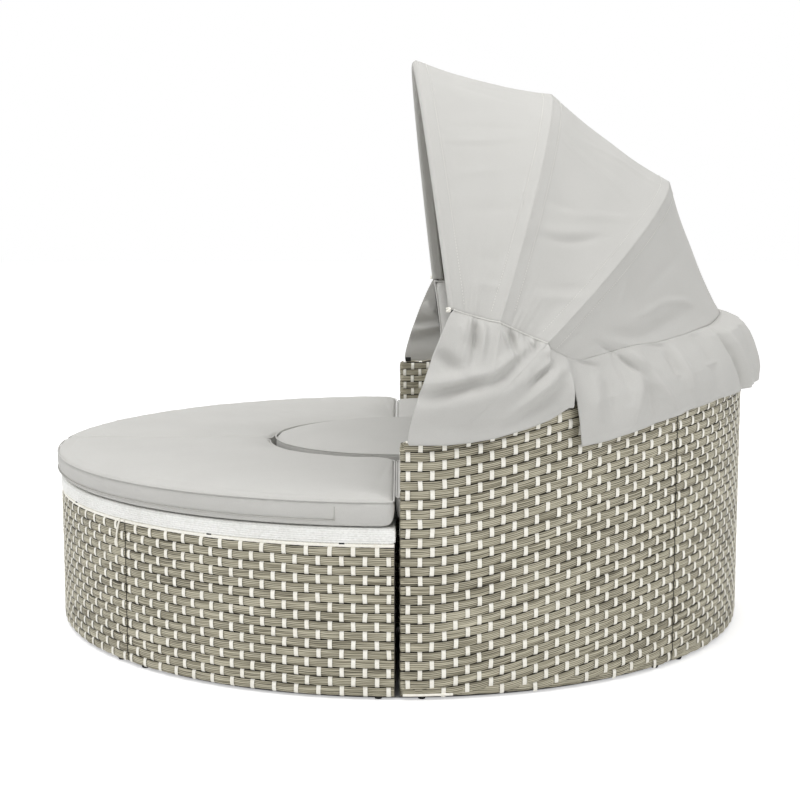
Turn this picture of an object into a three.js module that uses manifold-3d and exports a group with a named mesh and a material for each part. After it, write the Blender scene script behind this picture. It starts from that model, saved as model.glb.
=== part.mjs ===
// Round outdoor daybed with a folding canopy, in millimetres, +Z up.
// A half-round sofa with a woven wall stands over +Y, a half-round ottoman
// closes the circle over -Y, and a round stool fills the well in the middle.
// The origin is the centre of the circle on the floor.

import * as THREE from 'three';
import { mergeVertices } from 'three/addons/utils/BufferGeometryUtils.js';
import Module from 'manifold-3d';

const wasm = await Module();
wasm.setup();

const radians = (angle) => THREE.MathUtils.degToRad(angle);

// Whole bed
const bedRadius = 900;
const wellRadius = 350;
const splitGap = 11;
const restGap = 0.3;
const sideGap = 0.4;
const weldOverlap = 1;

// Feet
const footHeight = 8;
const footRadius = 10;
const footChamfer = 2;
const footSetback = 48;
const stoolFootCount = 3;

// Woven panels
const wallThickness = 31;
const wallTop = 564;
const armLevelLength = 40;
const wallRise = 152;
const wallRiseSpread = 16;
const baseTop = 345;
const innerPanelThickness = 24;
const coursePitch = 20.3;
const courseDepth = 2.2;
const topRound = 9;
const beadHeight = 8;
const panelJoint = 0.6;
const armCornerRadius = 15;
const visibleLiningHeight = 112;
const liningCourses = 8;

// Seat decks and the bearers welded under them
const deckThickness = 33;
const deckRound = 7;
const bearerWidth = 25;

// Stool
const drumClearance = 32;
const drumThickness = 22;
const stoolDeckOverhang = 2;

// Seat cushions
const cushionHeight = 59;
const cushionCrown = 15;
const cushionSeamInset = 5;
const cushionBottomInset = 9;
const cushionCorner = 26;
const cushionDrawIn = 4;
const cushionShoulder = 58;
const cushionPlateau = 135;
const shoulderCrownShare = 0.7;
const ottomanCushionOverhang = 8;
const cushionWallClearance = 7;
const cushionWellClearance = 1;
const cushionPairGap = 3;
const sofaCushionOverhang = 6;
const cushionRowGap = 11;
const stoolCushionClearance = 12;
const stoolCushionRise = 11;

// Throw pillows: how far inside the wall, at what angle round the bed and with what yaw
const pillowSize = 452;
const pillowThickness = 132;
const pillowDrawIn = 24;
const rightPillow = { name: 'pillow_right', setback: 145, place: 22.7, yaw: -66 };
const leftPillow = { name: 'pillow_left', setback: 122, place: 147.2, yaw: 57 };

// Canopy hinge
const pivotY = 145;
const pivotHeight = 604;
const boltRadius = 4;
const boltHeadRadius = 8;
const boltHeadHeight = 4;
const runningClearance = 0.1;
const bracketInset = 8;
const bracketPlate = 4;
const bracketEye = 15;
const bracketFootLength = 62;
const bracketFootWidth = 24;
const bracketFootThickness = 3;
const bracketSeatMargin = 4;
const bracketSeatGap = 0.6;
const barThickness = 3;
const barWidth = 14;
const barEye = 11;
const barStraight = 24;
const barLength = 150;
const barSocket = 12;
const barGap = 0.4;

// Canopy bows from front to rear, their angle above +Y and the arch angle of the hem in degrees
const tubeRadius = 8;
const bowFullness = 1.88;
const frontBow = { name: 'canopy_bow_front', reach: 836, angle: 97.1, hem: 17.8 };
const secondBow = { name: 'canopy_bow_second', reach: 783, angle: 71.7, hem: 17.6 };
const thirdBow = { name: 'canopy_bow_third', reach: 759, angle: 43.5, hem: 19.5 };
const rearBowInset = 67;
const rearBowAngle = 15.3;
const rearBowReach = (bedRadius - rearBowInset - pivotY) / Math.cos(radians(rearBowAngle));
const rearBow = { name: 'canopy_bow_rear', reach: rearBowReach, angle: rearBowAngle, hem: 42 };

// Canopy cloth
const clothThickness = 2;
const clothClearance = 3;
const clothSag = 9;
const clothJoint = 0.6;
const slitAngle = 22.5;
const rearHemShare = 0.45;
const rearHemStartShare = 0.07;

// Skirt of the canopy
const skirtStandOff = 25;
const skirtFold = 10;
const sideFoldCount = 3;
const rearFoldCount = 9;
const frontCornerForward = 23;
const frontBottomHeight = 565;
const slitFrontBottomHeight = 624;
const slitRearBottomHeight = 548;
const rearBottomHeight = 618;
const slitTopGap = 4;
const slitBottomGap = 14;
const skirtHeightShares = [0, 0.12, 0.32, 0.62, 1];
const skirtFlareShares = [0, 0.42, 0.72, 0.93, 1];

// Stops on the front ends of the arms
const stopLength = 18;
const stopWidth = 20;
const stopHeight = 13;
const stopSetback = 18;

// Smoothness: sizes of facets in degrees, and counts
const panelStep = 9;
const deckStep = 9;
const cornerSteps = 3;
const tubeSides = 8;
const tubeSteps = 28;
const archSteps = 18;
const goreSteps = 4;
const hemSteps = 2;
const rearHemSteps = 3;
const roundSides = 12;
const footSides = 8;
const cushionArcSteps = 9;
const pillowSteps = 8;

const finishes = {
  wicker: { color: 0x9a968a, roughness: 0.62, metalness: 0 },
  rim: { color: 0xf0efea, roughness: 0.55, metalness: 0 },
  frame: { color: 0x2b2b2a, roughness: 0.45, metalness: 0.7 },
  rubber: { color: 0x151514, roughness: 0.8, metalness: 0 },
  cushion: { color: 0xc9c8c3, roughness: 0.92, metalness: 0 },
  canopy: { color: 0xcdccc8, roughness: 0.9, metalness: 0 },
  steel: { color: 0xb9bab8, roughness: 0.35, metalness: 0.9 },
};

const daybed = new THREE.Group();

function place(name, geometry, finish) {
  const mesh = new THREE.Mesh(geometry, new THREE.MeshStandardMaterial(finishes[finish]));
  mesh.name = name;
  daybed.add(mesh);
  return mesh;
}

const quarter = Math.PI / 2;
const eighth = quarter / 2;

// Solids from rings and grids of points

function signedVolume(positions, index) {
  const a = new THREE.Vector3();
  const b = new THREE.Vector3();
  const c = new THREE.Vector3();
  let volume = 0;
  for (let i = 0; i < index.length; i += 3) {
    a.fromArray(positions, 3 * index[i]);
    b.fromArray(positions, 3 * index[i + 1]);
    c.fromArray(positions, 3 * index[i + 2]);
    volume += a.dot(b.cross(c)) / 6;
  }
  return volume;
}

function closedSolid(points, index) {
  const positions = points.flatMap((point) => point.toArray());
  if (signedVolume(positions, index) < 0) index.reverse();
  const geometry = new THREE.BufferGeometry();
  geometry.setAttribute('position', new THREE.Float32BufferAttribute(positions, 3));
  geometry.setIndex(index);
  return geometry;
}

// Triangles of a flat ring, each in the ring's own turning sense.
function fillRing(ring) {
  const normal = new THREE.Vector3();
  ring.forEach((point, i) => {
    const next = ring[(i + 1) % ring.length];
    normal.add(point.clone().sub(ring[0]).cross(next.clone().sub(ring[0])));
  });
  normal.normalize();
  const across = ring[1].clone().sub(ring[0]).normalize();
  const along = normal.clone().cross(across);
  const flat = ring.map((point) => new THREE.Vector2(point.dot(across), point.dot(along)));
  return THREE.ShapeUtils.triangulateShape(flat, []).map(([a, b, c]) => {
    const turn = flat[b].clone().sub(flat[a]).cross(flat[c].clone().sub(flat[a]));
    return turn > 0 ? [a, b, c] : [a, c, b];
  });
}

// A solid through rings that match point by point, closed by flat ends.
function loft(rings) {
  const count = rings[0].length;
  const last = (rings.length - 1) * count;
  const index = [];
  for (let start = 0; start < last; start += count) {
    for (let j = 0; j < count; j += 1) {
      const k = (j + 1) % count;
      index.push(start + j, start + k, start + count + k);
      index.push(start + j, start + count + k, start + count + j);
    }
  }
  for (const [a, b, c] of fillRing(rings[0])) index.push(a, c, b);
  for (const [a, b, c] of fillRing(rings.at(-1))) index.push(last + a, last + b, last + c);
  return closedSolid(rings.flat(), index);
}

// A thin solid between two grids of points that match, row by row.
function sheet(outer, inner) {
  const rows = outer.length;
  const columns = outer[0].length;
  const offset = rows * columns;
  const index = [];
  const quad = (a, b, c, d) => index.push(a, b, c, a, c, d);
  for (let i = 0; i + 1 < rows; i += 1) {
    for (let j = 0; j + 1 < columns; j += 1) {
      const a = i * columns + j;
      const b = a + offset;
      quad(a, a + 1, a + columns + 1, a + columns);
      quad(b + 1, b, b + columns, b + columns + 1);
    }
    const left = i * columns;
    const right = left + columns - 1;
    quad(left, left + columns, offset + left + columns, offset + left);
    quad(right, offset + right, offset + right + columns, right + columns);
  }
  for (let j = 0; j + 1 < columns; j += 1) {
    const end = (rows - 1) * columns + j;
    quad(j, offset + j, offset + j + 1, j + 1);
    quad(end, end + 1, offset + end + 1, offset + end);
  }
  return closedSolid([...outer.flat(), ...inner.flat()], index);
}

function mirrored(geometry) {
  const copy = geometry.clone().scale(-1, 1, 1);
  copy.setIndex(Array.from(copy.index.array).reverse());
  return copy;
}

function around(radius, angle, height) {
  return new THREE.Vector3(radius * Math.cos(angle), radius * Math.sin(angle), height);
}

// An outline of [radius, height] points carried round the Z axis through the angles.
function sweep(angles, outlineAt) {
  return loft(angles.map((angle, i) => (
    outlineAt(i).map(([radius, height]) => around(radius, angle, height))
  )));
}

function evenAngles(from, to, step) {
  const count = Math.max(1, Math.round(Math.abs(to - from) / radians(step)));
  return Array.from({ length: count + 1 }, (_, i) => from + (to - from) * (i / count));
}

function mirrorAngles(angles) {
  return angles.map((angle) => Math.PI - angle);
}

// Where the flat of a facet lies, when its corners lie on the radius.
function facetRadius(radius, step) {
  return radius * Math.cos(radians(step) / 2);
}

// Turns an outline of [radius, height] points about the Z axis.
function turned(outline, step) {
  const points = outline.map(([radius, height]) => new THREE.Vector2(radius, height));
  const sides = Math.round(2 * Math.PI / radians(step));
  return new THREE.LatheGeometry(points, sides).rotateX(quarter);
}

// A cylinder along X
function pin(radius, length, sides = roundSides) {
  return new THREE.CylinderGeometry(radius, radius, length, sides).rotateZ(quarter);
}

// Joins and cuts

function toManifold(geometry) {
  const bare = new THREE.BufferGeometry();
  bare.setAttribute('position', geometry.getAttribute('position'));
  bare.setIndex(geometry.index);
  const merged = mergeVertices(bare);
  return new wasm.Manifold(new wasm.Mesh({
    numProp: 3,
    vertProperties: Float32Array.from(merged.getAttribute('position').array),
    triVerts: Uint32Array.from(merged.index.array),
  }));
}

function joined(parts, cuts = []) {
  let solid = toManifold(parts[0]);
  for (const part of parts.slice(1)) solid = solid.add(toManifold(part));
  for (const cut of cuts) solid = solid.subtract(toManifold(cut));
  const mesh = solid.getMesh();
  const geometry = new THREE.BufferGeometry();
  geometry.setAttribute('position', new THREE.BufferAttribute(mesh.vertProperties, 3));
  geometry.setIndex(new THREE.BufferAttribute(mesh.triVerts, 1));
  return geometry;
}

// Woven panels: every ribbon course is one bulge of the skin

function courses(face, hollow, low, high, count = Math.round((high - low) / coursePitch)) {
  const pitch = (high - low) / count;
  const line = [];
  for (let i = 0; i < count; i += 1) {
    line.push([hollow, low + i * pitch]);
    line.push([face, low + (i + 0.5) * pitch]);
  }
  line.push([hollow, high]);
  return line;
}

const wallInner = bedRadius - wallThickness;
const wallInnerFlat = facetRadius(wallInner, panelStep);

// The wall's top is level over the arm's end, then it climbs in a soft curve towards the back.
function wallHeight(angle) {
  const level = armLevelLength / bedRadius;
  const turn = Math.max(0, angle - level) / radians(wallRiseSpread);
  return wallTop + wallRise * (1 - (1 + turn) * Math.exp(-turn));
}

// Section of the sofa's wall, ribbed outside and, above the seat, inside. Its courses spread a
// little where the wall is higher.
function wallSection(top, cornerDrop) {
  const shoulder = top - topRound;
  const lining = wallTop - visibleLiningHeight;
  const outerCourses = Math.round((wallTop - footHeight) / coursePitch);
  const section = [
    [wallInner, footHeight],
    ...courses(bedRadius, bedRadius - courseDepth, footHeight, shoulder, outerCourses),
    [bedRadius - topRound, top],
    [wallInner + topRound, top],
    ...courses(wallInner, wallInner + courseDepth, lining, shoulder, liningCourses).reverse(),
    [wallInner, lining - courseDepth],
  ];
  const fold = top - armCornerRadius;
  return section.map(([radius, height]) => {
    const share = Math.max(0, (height - fold) / armCornerRadius);
    return [radius, height - cornerDrop * share];
  });
}

// Section of the ottoman's side, with a bead along its top.
function baseSection() {
  const shoulder = baseTop - beadHeight;
  return [
    [wallInner, footHeight],
    ...courses(bedRadius, bedRadius - courseDepth, footHeight, shoulder),
    [bedRadius, shoulder + beadHeight / 2],
    [bedRadius - courseDepth, baseTop],
    [wallInner, baseTop],
  ];
}

const halfJoint = panelJoint / 2 / bedRadius;
const splitAngle = Math.asin(splitGap / bedRadius);

// Stops along the arm's end, close together round its top corner.
function cornerDistances() {
  return Array.from({ length: cornerSteps + 1 }, (_, i) => (
    armCornerRadius * (1 - Math.cos(quarter * (i / cornerSteps)))
  ));
}

function cornerDrop(distance) {
  const left = Math.max(0, armCornerRadius - distance);
  return armCornerRadius - Math.sqrt(armCornerRadius ** 2 - left ** 2);
}

const wallMiddle = bedRadius - wallThickness / 2;
const wallMiddleX = Math.sqrt(wallMiddle ** 2 - pivotY ** 2);
const wallTurn = Math.atan2(pivotY, wallMiddleX);

// The stretch of the wall's top under a hinge bracket is straight, so that its foot lies flat.
const seatSpan = Math.asin((bracketFootLength / 2 + bracketSeatMargin) / wallMiddle);
const seatEnds = [wallTurn - seatSpan, wallTurn + seatSpan];

function makeWall() {
  const ends = [...cornerDistances(), armLevelLength].map((distance) => distance / bedRadius);
  const arm = [...ends, seatEnds[0], ...evenAngles(seatEnds[1], eighth - halfJoint, panelStep)];
  const back = evenAngles(eighth + halfJoint, quarter - halfJoint, panelStep);
  const armSection = (i) => wallSection(wallHeight(arm[i]), cornerDrop(arm[i] * bedRadius));
  const backSection = (i) => wallSection(wallHeight(back[i]), 0);
  place('wall_panel_1', sweep(arm, armSection), 'wicker');
  place('wall_panel_2', sweep(back, backSection), 'wicker');
  place('wall_panel_3', sweep(mirrorAngles(back), backSection), 'wicker');
  place('wall_panel_4', sweep(mirrorAngles(arm), armSection), 'wicker');
}

function makeBase() {
  const side = evenAngles(-splitAngle, halfJoint - eighth, panelStep);
  const front = evenAngles(-eighth - halfJoint, halfJoint - quarter, panelStep);
  place('ottoman_panel_1', sweep(side, baseSection), 'wicker');
  place('ottoman_panel_2', sweep(front, baseSection), 'wicker');
  place('ottoman_panel_3', sweep(mirrorAngles(front), baseSection), 'wicker');
  place('ottoman_panel_4', sweep(mirrorAngles(side), baseSection), 'wicker');
}

// Straight aprons along the split, and the half-round panel of the well

const wellOuter = wellRadius + innerPanelThickness;

// A board along X, ribbed on the side at y = face that looks at the other half.
function apron(facing, face) {
  const back = face - facing * innerPanelThickness;
  const outerEnd = Math.sqrt(wallInnerFlat ** 2 - back ** 2) - sideGap;
  const innerEnd = wellOuter + restGap;
  const top = baseTop - restGap;
  const section = [
    [back, footHeight],
    ...courses(face, face - facing * courseDepth, footHeight, top),
    [back, top],
  ];
  return loft([innerEnd, outerEnd].map((x) => (
    section.map(([y, z]) => new THREE.Vector3(x, y, z))
  )));
}

function wellSection() {
  const top = baseTop - restGap;
  return [
    [wellRadius, footHeight],
    [wellOuter, footHeight],
    [wellOuter, top],
    [wellRadius, top],
  ];
}

function makeInnerPanels(half, facing, face) {
  const board = apron(facing, face);
  place(`${half}_apron_right`, board, 'wicker');
  place(`${half}_apron_left`, mirrored(board), 'wicker');
  const start = Math.asin(Math.abs(face) / wellRadius);
  const angles = evenAngles(start, Math.PI - start, deckStep).map((angle) => -facing * angle);
  place(`${half}_well_panel`, sweep(angles, wellSection), 'wicker');
}

// Seat decks: half rings with a rounded rim and two bearers welded under them

const deckLow = baseTop + restGap;
const deckTop = deckLow + deckThickness;

function deckPlate(outer, edge) {
  const outerLine = outer - deckRound;
  const innerLine = wellRadius + deckRound;
  const side = edge + deckRound;
  const outerStart = Math.asin(side / outerLine);
  const innerStart = Math.asin(side / innerLine);
  const shape = new THREE.Shape();
  shape.absarc(0, 0, outerLine, outerStart, Math.PI - outerStart, false);
  shape.absarc(0, 0, innerLine, Math.PI - innerStart, innerStart, true);
  const plate = new THREE.ExtrudeGeometry(shape, {
    depth: deckThickness - 2 * deckRound,
    curveSegments: Math.round(Math.PI / radians(deckStep)),
    bevelSize: deckRound,
    bevelThickness: deckRound,
    bevelSegments: 1,
  });
  return plate.translate(0, 0, deckLow + deckRound);
}

function bearer(turn) {
  const outerEnd = wallInnerFlat - bearerWidth / 2;
  const innerEnd = wellOuter + sideGap;
  const height = bearerWidth + weldOverlap;
  const bar = new THREE.BoxGeometry(outerEnd - innerEnd, bearerWidth, height);
  const middle = deckLow + weldOverlap - height / 2;
  return bar.translate((outerEnd + innerEnd) / 2, 0, middle).rotateZ(turn);
}

function deck(outer, edge) {
  return joined([deckPlate(outer, edge), bearer(eighth), bearer(Math.PI - eighth)]);
}

function makeDecks() {
  place('sofa_deck', deck(wallInnerFlat - sideGap, restGap), 'rim');
  place('ottoman_deck', deck(bedRadius, splitGap).rotateZ(Math.PI), 'rim');
}

// Stool: a woven drum, a round deck and a round cushion

const drumRadius = wellRadius - drumClearance;

function makeStool() {
  const inner = drumRadius - drumThickness;
  const shoulder = baseTop - beadHeight;
  place('stool_drum', turned([
    [inner, footHeight],
    [drumRadius, footHeight],
    [drumRadius, shoulder],
    [drumRadius + courseDepth, shoulder + beadHeight / 2],
    [drumRadius, baseTop],
    [inner, baseTop],
    [inner, footHeight],
  ], panelStep), 'wicker');
  const deckRadius = drumRadius + stoolDeckOverhang;
  place('stool_deck', turned([
    [0, deckLow],
    [deckRadius - deckRound, deckLow],
    [deckRadius, deckLow + deckRound],
    [deckRadius, deckTop - deckRound],
    [deckRadius - deckRound, deckTop],
    [0, deckTop],
  ], panelStep), 'rim');
  const radius = wellRadius - stoolCushionClearance;
  const low = deckTop + restGap;
  const seam = low + cushionHeight + stoolCushionRise;
  place('stool_cushion', turned([
    [0, low],
    [radius - cushionBottomInset, low],
    [radius, low + cushionBottomInset],
    [radius - cushionDrawIn, (low + seam) / 2],
    [radius, seam - cushionBottomInset],
    [radius - cushionSeamInset, seam],
    [radius - cushionShoulder, seam + cushionCrown * shoulderCrownShare],
    [radius - cushionPlateau, seam + cushionCrown],
    [0, seam + cushionCrown],
  ], panelStep), 'cushion');
}

// Seat cushions: quarter rings with rounded corners, drawn-in sides and a crown

const cushionLow = deckTop + restGap;
const cushionSeam = cushionLow + cushionHeight;
const sofaCushionOuter = wallInner - cushionWallClearance;

// One ring of a quarter cushion in the +X +Y quarter, moved inwards by inset.
function quarterRing(cushion, inset, height) {
  const outer = cushion.outer - inset;
  const inner = cushion.inner + inset;
  const corner = Math.max(cushionCorner - inset, cushionSeamInset);
  const cut = corner * (1 - Math.SQRT1_2);
  const low = { y: cushion.edgeY + inset, x: cushion.edgeX + inset };
  const reach = (radius, side) => Math.sqrt(radius ** 2 - side ** 2);
  const arc = (radius) => {
    const from = Math.asin(low.y / radius) + corner / radius;
    const to = quarter - Math.asin(low.x / radius) - corner / radius;
    return Array.from({ length: cushionArcSteps + 1 }, (_, i) => {
      const angle = from + (to - from) * (i / cushionArcSteps);
      return [radius * Math.cos(angle), radius * Math.sin(angle)];
    });
  };
  const far = { x: reach(outer, low.y), y: reach(outer, low.x) };
  const near = { x: reach(inner, low.y), y: reach(inner, low.x) };
  const points = [
    ...arc(outer),
    [low.x + cut, far.y - cut],
    [low.x, far.y - corner],
    [low.x + cushionDrawIn, (far.y + near.y) / 2],
    [low.x, near.y + corner],
    [low.x + cut, near.y + cut],
    ...arc(inner).reverse(),
    [near.x + cut, low.y + cut],
    [near.x + corner, low.y],
    [(far.x + near.x) / 2, low.y + cushionDrawIn],
    [far.x - corner, low.y],
    [far.x - cut, low.y + cut],
  ];
  return points.map(([x, y]) => (
    new THREE.Vector3(cushion.signX * x, cushion.signY * y, height)
  ));
}

function quarterCushion(cushion) {
  const middle = (cushionLow + cushionSeam) / 2;
  const shoulder = cushionSeam + cushionCrown * shoulderCrownShare;
  return loft([
    quarterRing(cushion, cushionBottomInset, cushionLow),
    quarterRing(cushion, 0, cushionLow + cushionBottomInset),
    quarterRing(cushion, cushionDrawIn, middle),
    quarterRing(cushion, 0, cushionSeam - cushionBottomInset),
    quarterRing(cushion, cushionSeamInset, cushionSeam),
    quarterRing(cushion, cushionShoulder, shoulder),
    quarterRing(cushion, cushionPlateau, cushionSeam + cushionCrown),
  ]);
}

function makeCushions() {
  const inner = wellRadius - cushionWellClearance;
  const edgeX = cushionPairGap / 2;
  for (const [side, signX] of [['right', 1], ['left', -1]]) {
    place(`sofa_cushion_${side}`, quarterCushion({
      inner,
      outer: sofaCushionOuter,
      edgeX,
      edgeY: -sofaCushionOverhang,
      signX,
      signY: 1,
    }), 'cushion');
    place(`ottoman_cushion_${side}`, quarterCushion({
      inner,
      outer: bedRadius + ottomanCushionOverhang,
      edgeX,
      edgeY: sofaCushionOverhang + cushionRowGap,
      signX,
      signY: -1,
    }), 'cushion');
  }
}

// Throw pillows: two skins that meet in a seam, with drawn-in sides and full corners

function pillow() {
  const skin = (front) => Array.from({ length: pillowSteps + 1 }, (_, i) => (
    Array.from({ length: pillowSteps + 1 }, (_unused, j) => {
      const u = Math.sin((i / pillowSteps - 0.5) * Math.PI);
      const v = Math.sin((j / pillowSteps - 0.5) * Math.PI);
      const x = u * (pillowSize / 2 - pillowDrawIn * (1 - v * v));
      const z = v * (pillowSize / 2 - pillowDrawIn * (1 - u * u));
      const swell = ((1 - u * u) * (1 - v * v)) ** 0.25;
      return new THREE.Vector3(x, front * swell * (pillowThickness / 2), z);
    })
  ));
  const width = pillowSteps + 1;
  const offset = width * width;
  const index = [];
  for (let i = 0; i < pillowSteps; i += 1) {
    for (let j = 0; j < pillowSteps; j += 1) {
      const a = i * width + j;
      const b = a + offset;
      index.push(a, a + 1, a + width + 1, a, a + width + 1, a + width);
      index.push(b, b + width + 1, b + 1, b, b + width, b + width + 1);
    }
  }
  return mergeVertices(closedSolid([...skin(1).flat(), ...skin(-1).flat()], index));
}

// Height of a sofa cushion's crown at a distance from the circle's centre.
function crownHeight(radius) {
  const inset = sofaCushionOuter - radius;
  const share = (inset - cushionShoulder) / (cushionPlateau - cushionShoulder);
  const rise = shoulderCrownShare + (1 - shoulderCrownShare) * THREE.MathUtils.clamp(share, 0, 1);
  return cushionSeam + cushionCrown * rise;
}

// A pillow stands on its two lower corners.
function standPillow(spot) {
  const turn = radians(spot.yaw);
  const across = new THREE.Vector2(Math.cos(turn), Math.sin(turn)).multiplyScalar(pillowSize / 2);
  const middle = around(wallInner - spot.setback, radians(spot.place), 0);
  const centre = new THREE.Vector2(middle.x, middle.y);
  const seats = [1, -1].map((end) => (
    crownHeight(centre.clone().addScaledVector(across, end).length())
  ));
  const mesh = place(spot.name, pillow(), 'cushion');
  mesh.position.set(centre.x, centre.y, Math.max(...seats) + restGap + pillowSize / 2);
  mesh.rotation.z = turn;
}

// Feet: glides at both ends of every panel and under the stool

function foot() {
  const height = footHeight - restGap;
  const glide = new THREE.CylinderGeometry(footRadius, footRadius - footChamfer, height, footSides);
  return glide.rotateX(quarter).translate(0, 0, height / 2);
}

function makeFeet() {
  const ring = bedRadius - wallThickness / 2;
  const setback = footSetback / bedRadius;
  const spots = [setback, eighth - setback, eighth + setback, quarter - setback];
  [...spots, ...mirrorAngles(spots)].forEach((angle, i) => {
    place(`sofa_foot_${i + 1}`, foot(), 'rubber').position.copy(around(ring, angle, 0));
    place(`ottoman_foot_${i + 1}`, foot(), 'rubber').position.copy(around(ring, -angle, 0));
  });
  const stoolRing = drumRadius - drumThickness / 2;
  for (let i = 0; i < stoolFootCount; i += 1) {
    const angle = quarter + (2 * Math.PI * i) / stoolFootCount;
    place(`stool_foot_${i + 1}`, foot(), 'rubber').position.copy(around(stoolRing, angle, 0));
  }
}

// Canopy hinge: brackets on the wall, bolts, and the slots that the bars sit in

const bracketX = wallMiddleX - bracketInset;
const holeRadius = (boltRadius + runningClearance) / Math.cos(Math.PI / roundSides);
const firstSlot = bracketPlate / 2 + barGap + barThickness / 2;
const secondSlot = firstSlot + barThickness + barGap;
const slots = {
  [frontBow.name]: secondSlot,
  [secondBow.name]: firstSlot,
  [thirdBow.name]: -firstSlot,
  [rearBow.name]: -secondSlot,
};

const [seatLow, seatHigh] = seatEnds.map(wallHeight);
const seatSlope = Math.atan2(seatHigh - seatLow, 2 * wallMiddle * Math.sin(seatSpan));
const seatDrop = (seatLow + seatHigh) / 2 + bracketSeatGap - pivotHeight;

// The foot follows the wall and its slope, and the eye stands square to the hinge line.
function bracket() {
  const base = seatDrop * Math.cos(seatSlope) + bracketFootThickness / 2;
  const eaves = base + bracketFootThickness / 2;
  const half = bracketFootLength / 2 - bracketFootThickness;
  const plate = new THREE.Shape();
  plate.moveTo(-half, base);
  plate.lineTo(half, base);
  plate.lineTo(half, eaves);
  plate.absarc(0, 0, bracketEye, 0, Math.PI, false);
  plate.lineTo(-half, eaves);
  const upright = new THREE.ExtrudeGeometry(plate, {
    depth: bracketPlate,
    curveSegments: roundSides / 2,
    bevelEnabled: false,
  });
  upright.translate(0, 0, -bracketPlate / 2).rotateX(quarter).rotateZ(quarter).rotateX(seatSlope);
  const flange = new THREE.BoxGeometry(bracketFootWidth, bracketFootLength, bracketFootThickness);
  const rise = bracketFootThickness / 2 / Math.cos(seatSlope);
  flange.rotateX(seatSlope).rotateZ(wallTurn).translate(0, 0, seatDrop + rise);
  const hole = pin(holeRadius, 2 * bracketPlate);
  return joined([upright, flange], [hole]).translate(bracketX, pivotY, pivotHeight);
}

function bolt() {
  const stack = secondSlot + barThickness / 2 + barGap;
  const shank = pin(boltRadius, 2 * stack + boltHeadHeight);
  const head = pin(boltHeadRadius, boltHeadHeight).translate(stack + boltHeadHeight / 2, 0, 0);
  const nut = pin(boltHeadRadius, boltHeadHeight, roundSides / 2);
  nut.translate(-stack - boltHeadHeight / 2, 0, 0);
  return joined([shank, head, nut]).translate(bracketX, pivotY, pivotHeight);
}

function makeHinges() {
  place('hinge_bracket_right', bracket(), 'frame');
  place('hinge_bracket_left', mirrored(bracket()), 'frame');
  place('hinge_bolt_right', bolt(), 'steel');
  place('hinge_bolt_left', mirrored(bolt()), 'steel');
}

// Canopy bows: a bent tube with a flat hinge bar plugged into each end

function bowHalfWidth(spec) {
  return bracketX + slots[spec.name];
}

// A point of an arch, from one hinge at angle 0 to the other at pi, in its own plane.
function archPoint(halfWidth, reach, angle) {
  const power = 2 / bowFullness;
  const across = Math.sign(Math.cos(angle)) * Math.abs(Math.cos(angle)) ** power;
  return new THREE.Vector2(halfWidth * across, reach * Math.sin(angle) ** power);
}

function archAngleAt(reach, height) {
  return Math.asin((height / reach) ** (bowFullness / 2));
}

class BowArch extends THREE.Curve {
  constructor(halfWidth, reach, start) {
    super();
    this.halfWidth = halfWidth;
    this.reach = reach;
    this.start = start;
  }

  getPoint(share) {
    const angle = this.start + (Math.PI - 2 * this.start) * share;
    const point = archPoint(this.halfWidth, this.reach, angle);
    return new THREE.Vector3(point.x, 0, point.y);
  }
}

// A bar that rises straight from the bolt and then bends into the tube's mouth.
function hingeBar(halfWidth, tip) {
  const half = barThickness / 2;
  const outline = new THREE.Shape([
    new THREE.Vector2(halfWidth - half, 0),
    new THREE.Vector2(halfWidth + half, 0),
    new THREE.Vector2(halfWidth + half, barStraight),
    new THREE.Vector2(tip.x + half, tip.y),
    new THREE.Vector2(tip.x - half, tip.y),
    new THREE.Vector2(halfWidth - half, barStraight),
  ]);
  const bar = new THREE.ExtrudeGeometry(outline, { depth: barWidth, bevelEnabled: false });
  bar.translate(0, 0, -barWidth / 2).rotateX(quarter);
  return [bar, pin(barEye, barThickness).translate(halfWidth, 0, 0)];
}

function bow(spec) {
  const halfWidth = bowHalfWidth(spec);
  const start = archAngleAt(spec.reach, barLength - barSocket);
  const ring = new THREE.Shape().absarc(0, 0, tubeRadius, 0, 2 * Math.PI, false);
  const tube = new THREE.ExtrudeGeometry(ring, {
    steps: tubeSteps,
    curveSegments: tubeSides / 2,
    extrudePath: new BowArch(halfWidth, spec.reach, start),
  });
  const tip = archPoint(halfWidth, spec.reach, archAngleAt(spec.reach, barLength));
  const bars = hingeBar(halfWidth, tip);
  const twins = hingeBar(halfWidth, tip).map((part) => part.rotateZ(Math.PI));
  const holes = [halfWidth, -halfWidth].map((x) => (
    pin(holeRadius, 2 * barThickness).translate(x, 0, 0)
  ));
  return joined([tube, ...bars, ...twins], holes);
}

function makeBows() {
  for (const spec of [frontBow, secondBow, thirdBow, rearBow]) {
    const mesh = place(spec.name, bow(spec), 'frame');
    mesh.position.set(0, pivotY, pivotHeight);
    mesh.rotation.x = radians(spec.angle) - quarter;
  }
}

// Canopy cloth: each gore is stretched from bow to bow and sags a little between them

const clothOuter = tubeRadius + clothClearance + clothThickness;
const clothInner = tubeRadius + clothClearance;
const hingeCentre = new THREE.Vector3(0, pivotY, pivotHeight);

function clothOnBow(spec, angle, offset) {
  const flat = archPoint(bowHalfWidth(spec) + offset, spec.reach + offset, angle);
  const tilt = radians(spec.angle);
  const arm = new THREE.Vector3(flat.x, flat.y * Math.cos(tilt), flat.y * Math.sin(tilt));
  return arm.add(hingeCentre);
}

// A point of the cloth between two bows; share runs from the first bow to the second.
function clothPoint(from, to, share, angle, offset) {
  const point = clothOnBow(from, angle, offset).lerp(clothOnBow(to, angle, offset), share);
  const inward = hingeCentre.clone().sub(point).normalize();
  return point.addScaledVector(inward, clothSag * 4 * share * (1 - share));
}

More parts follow.
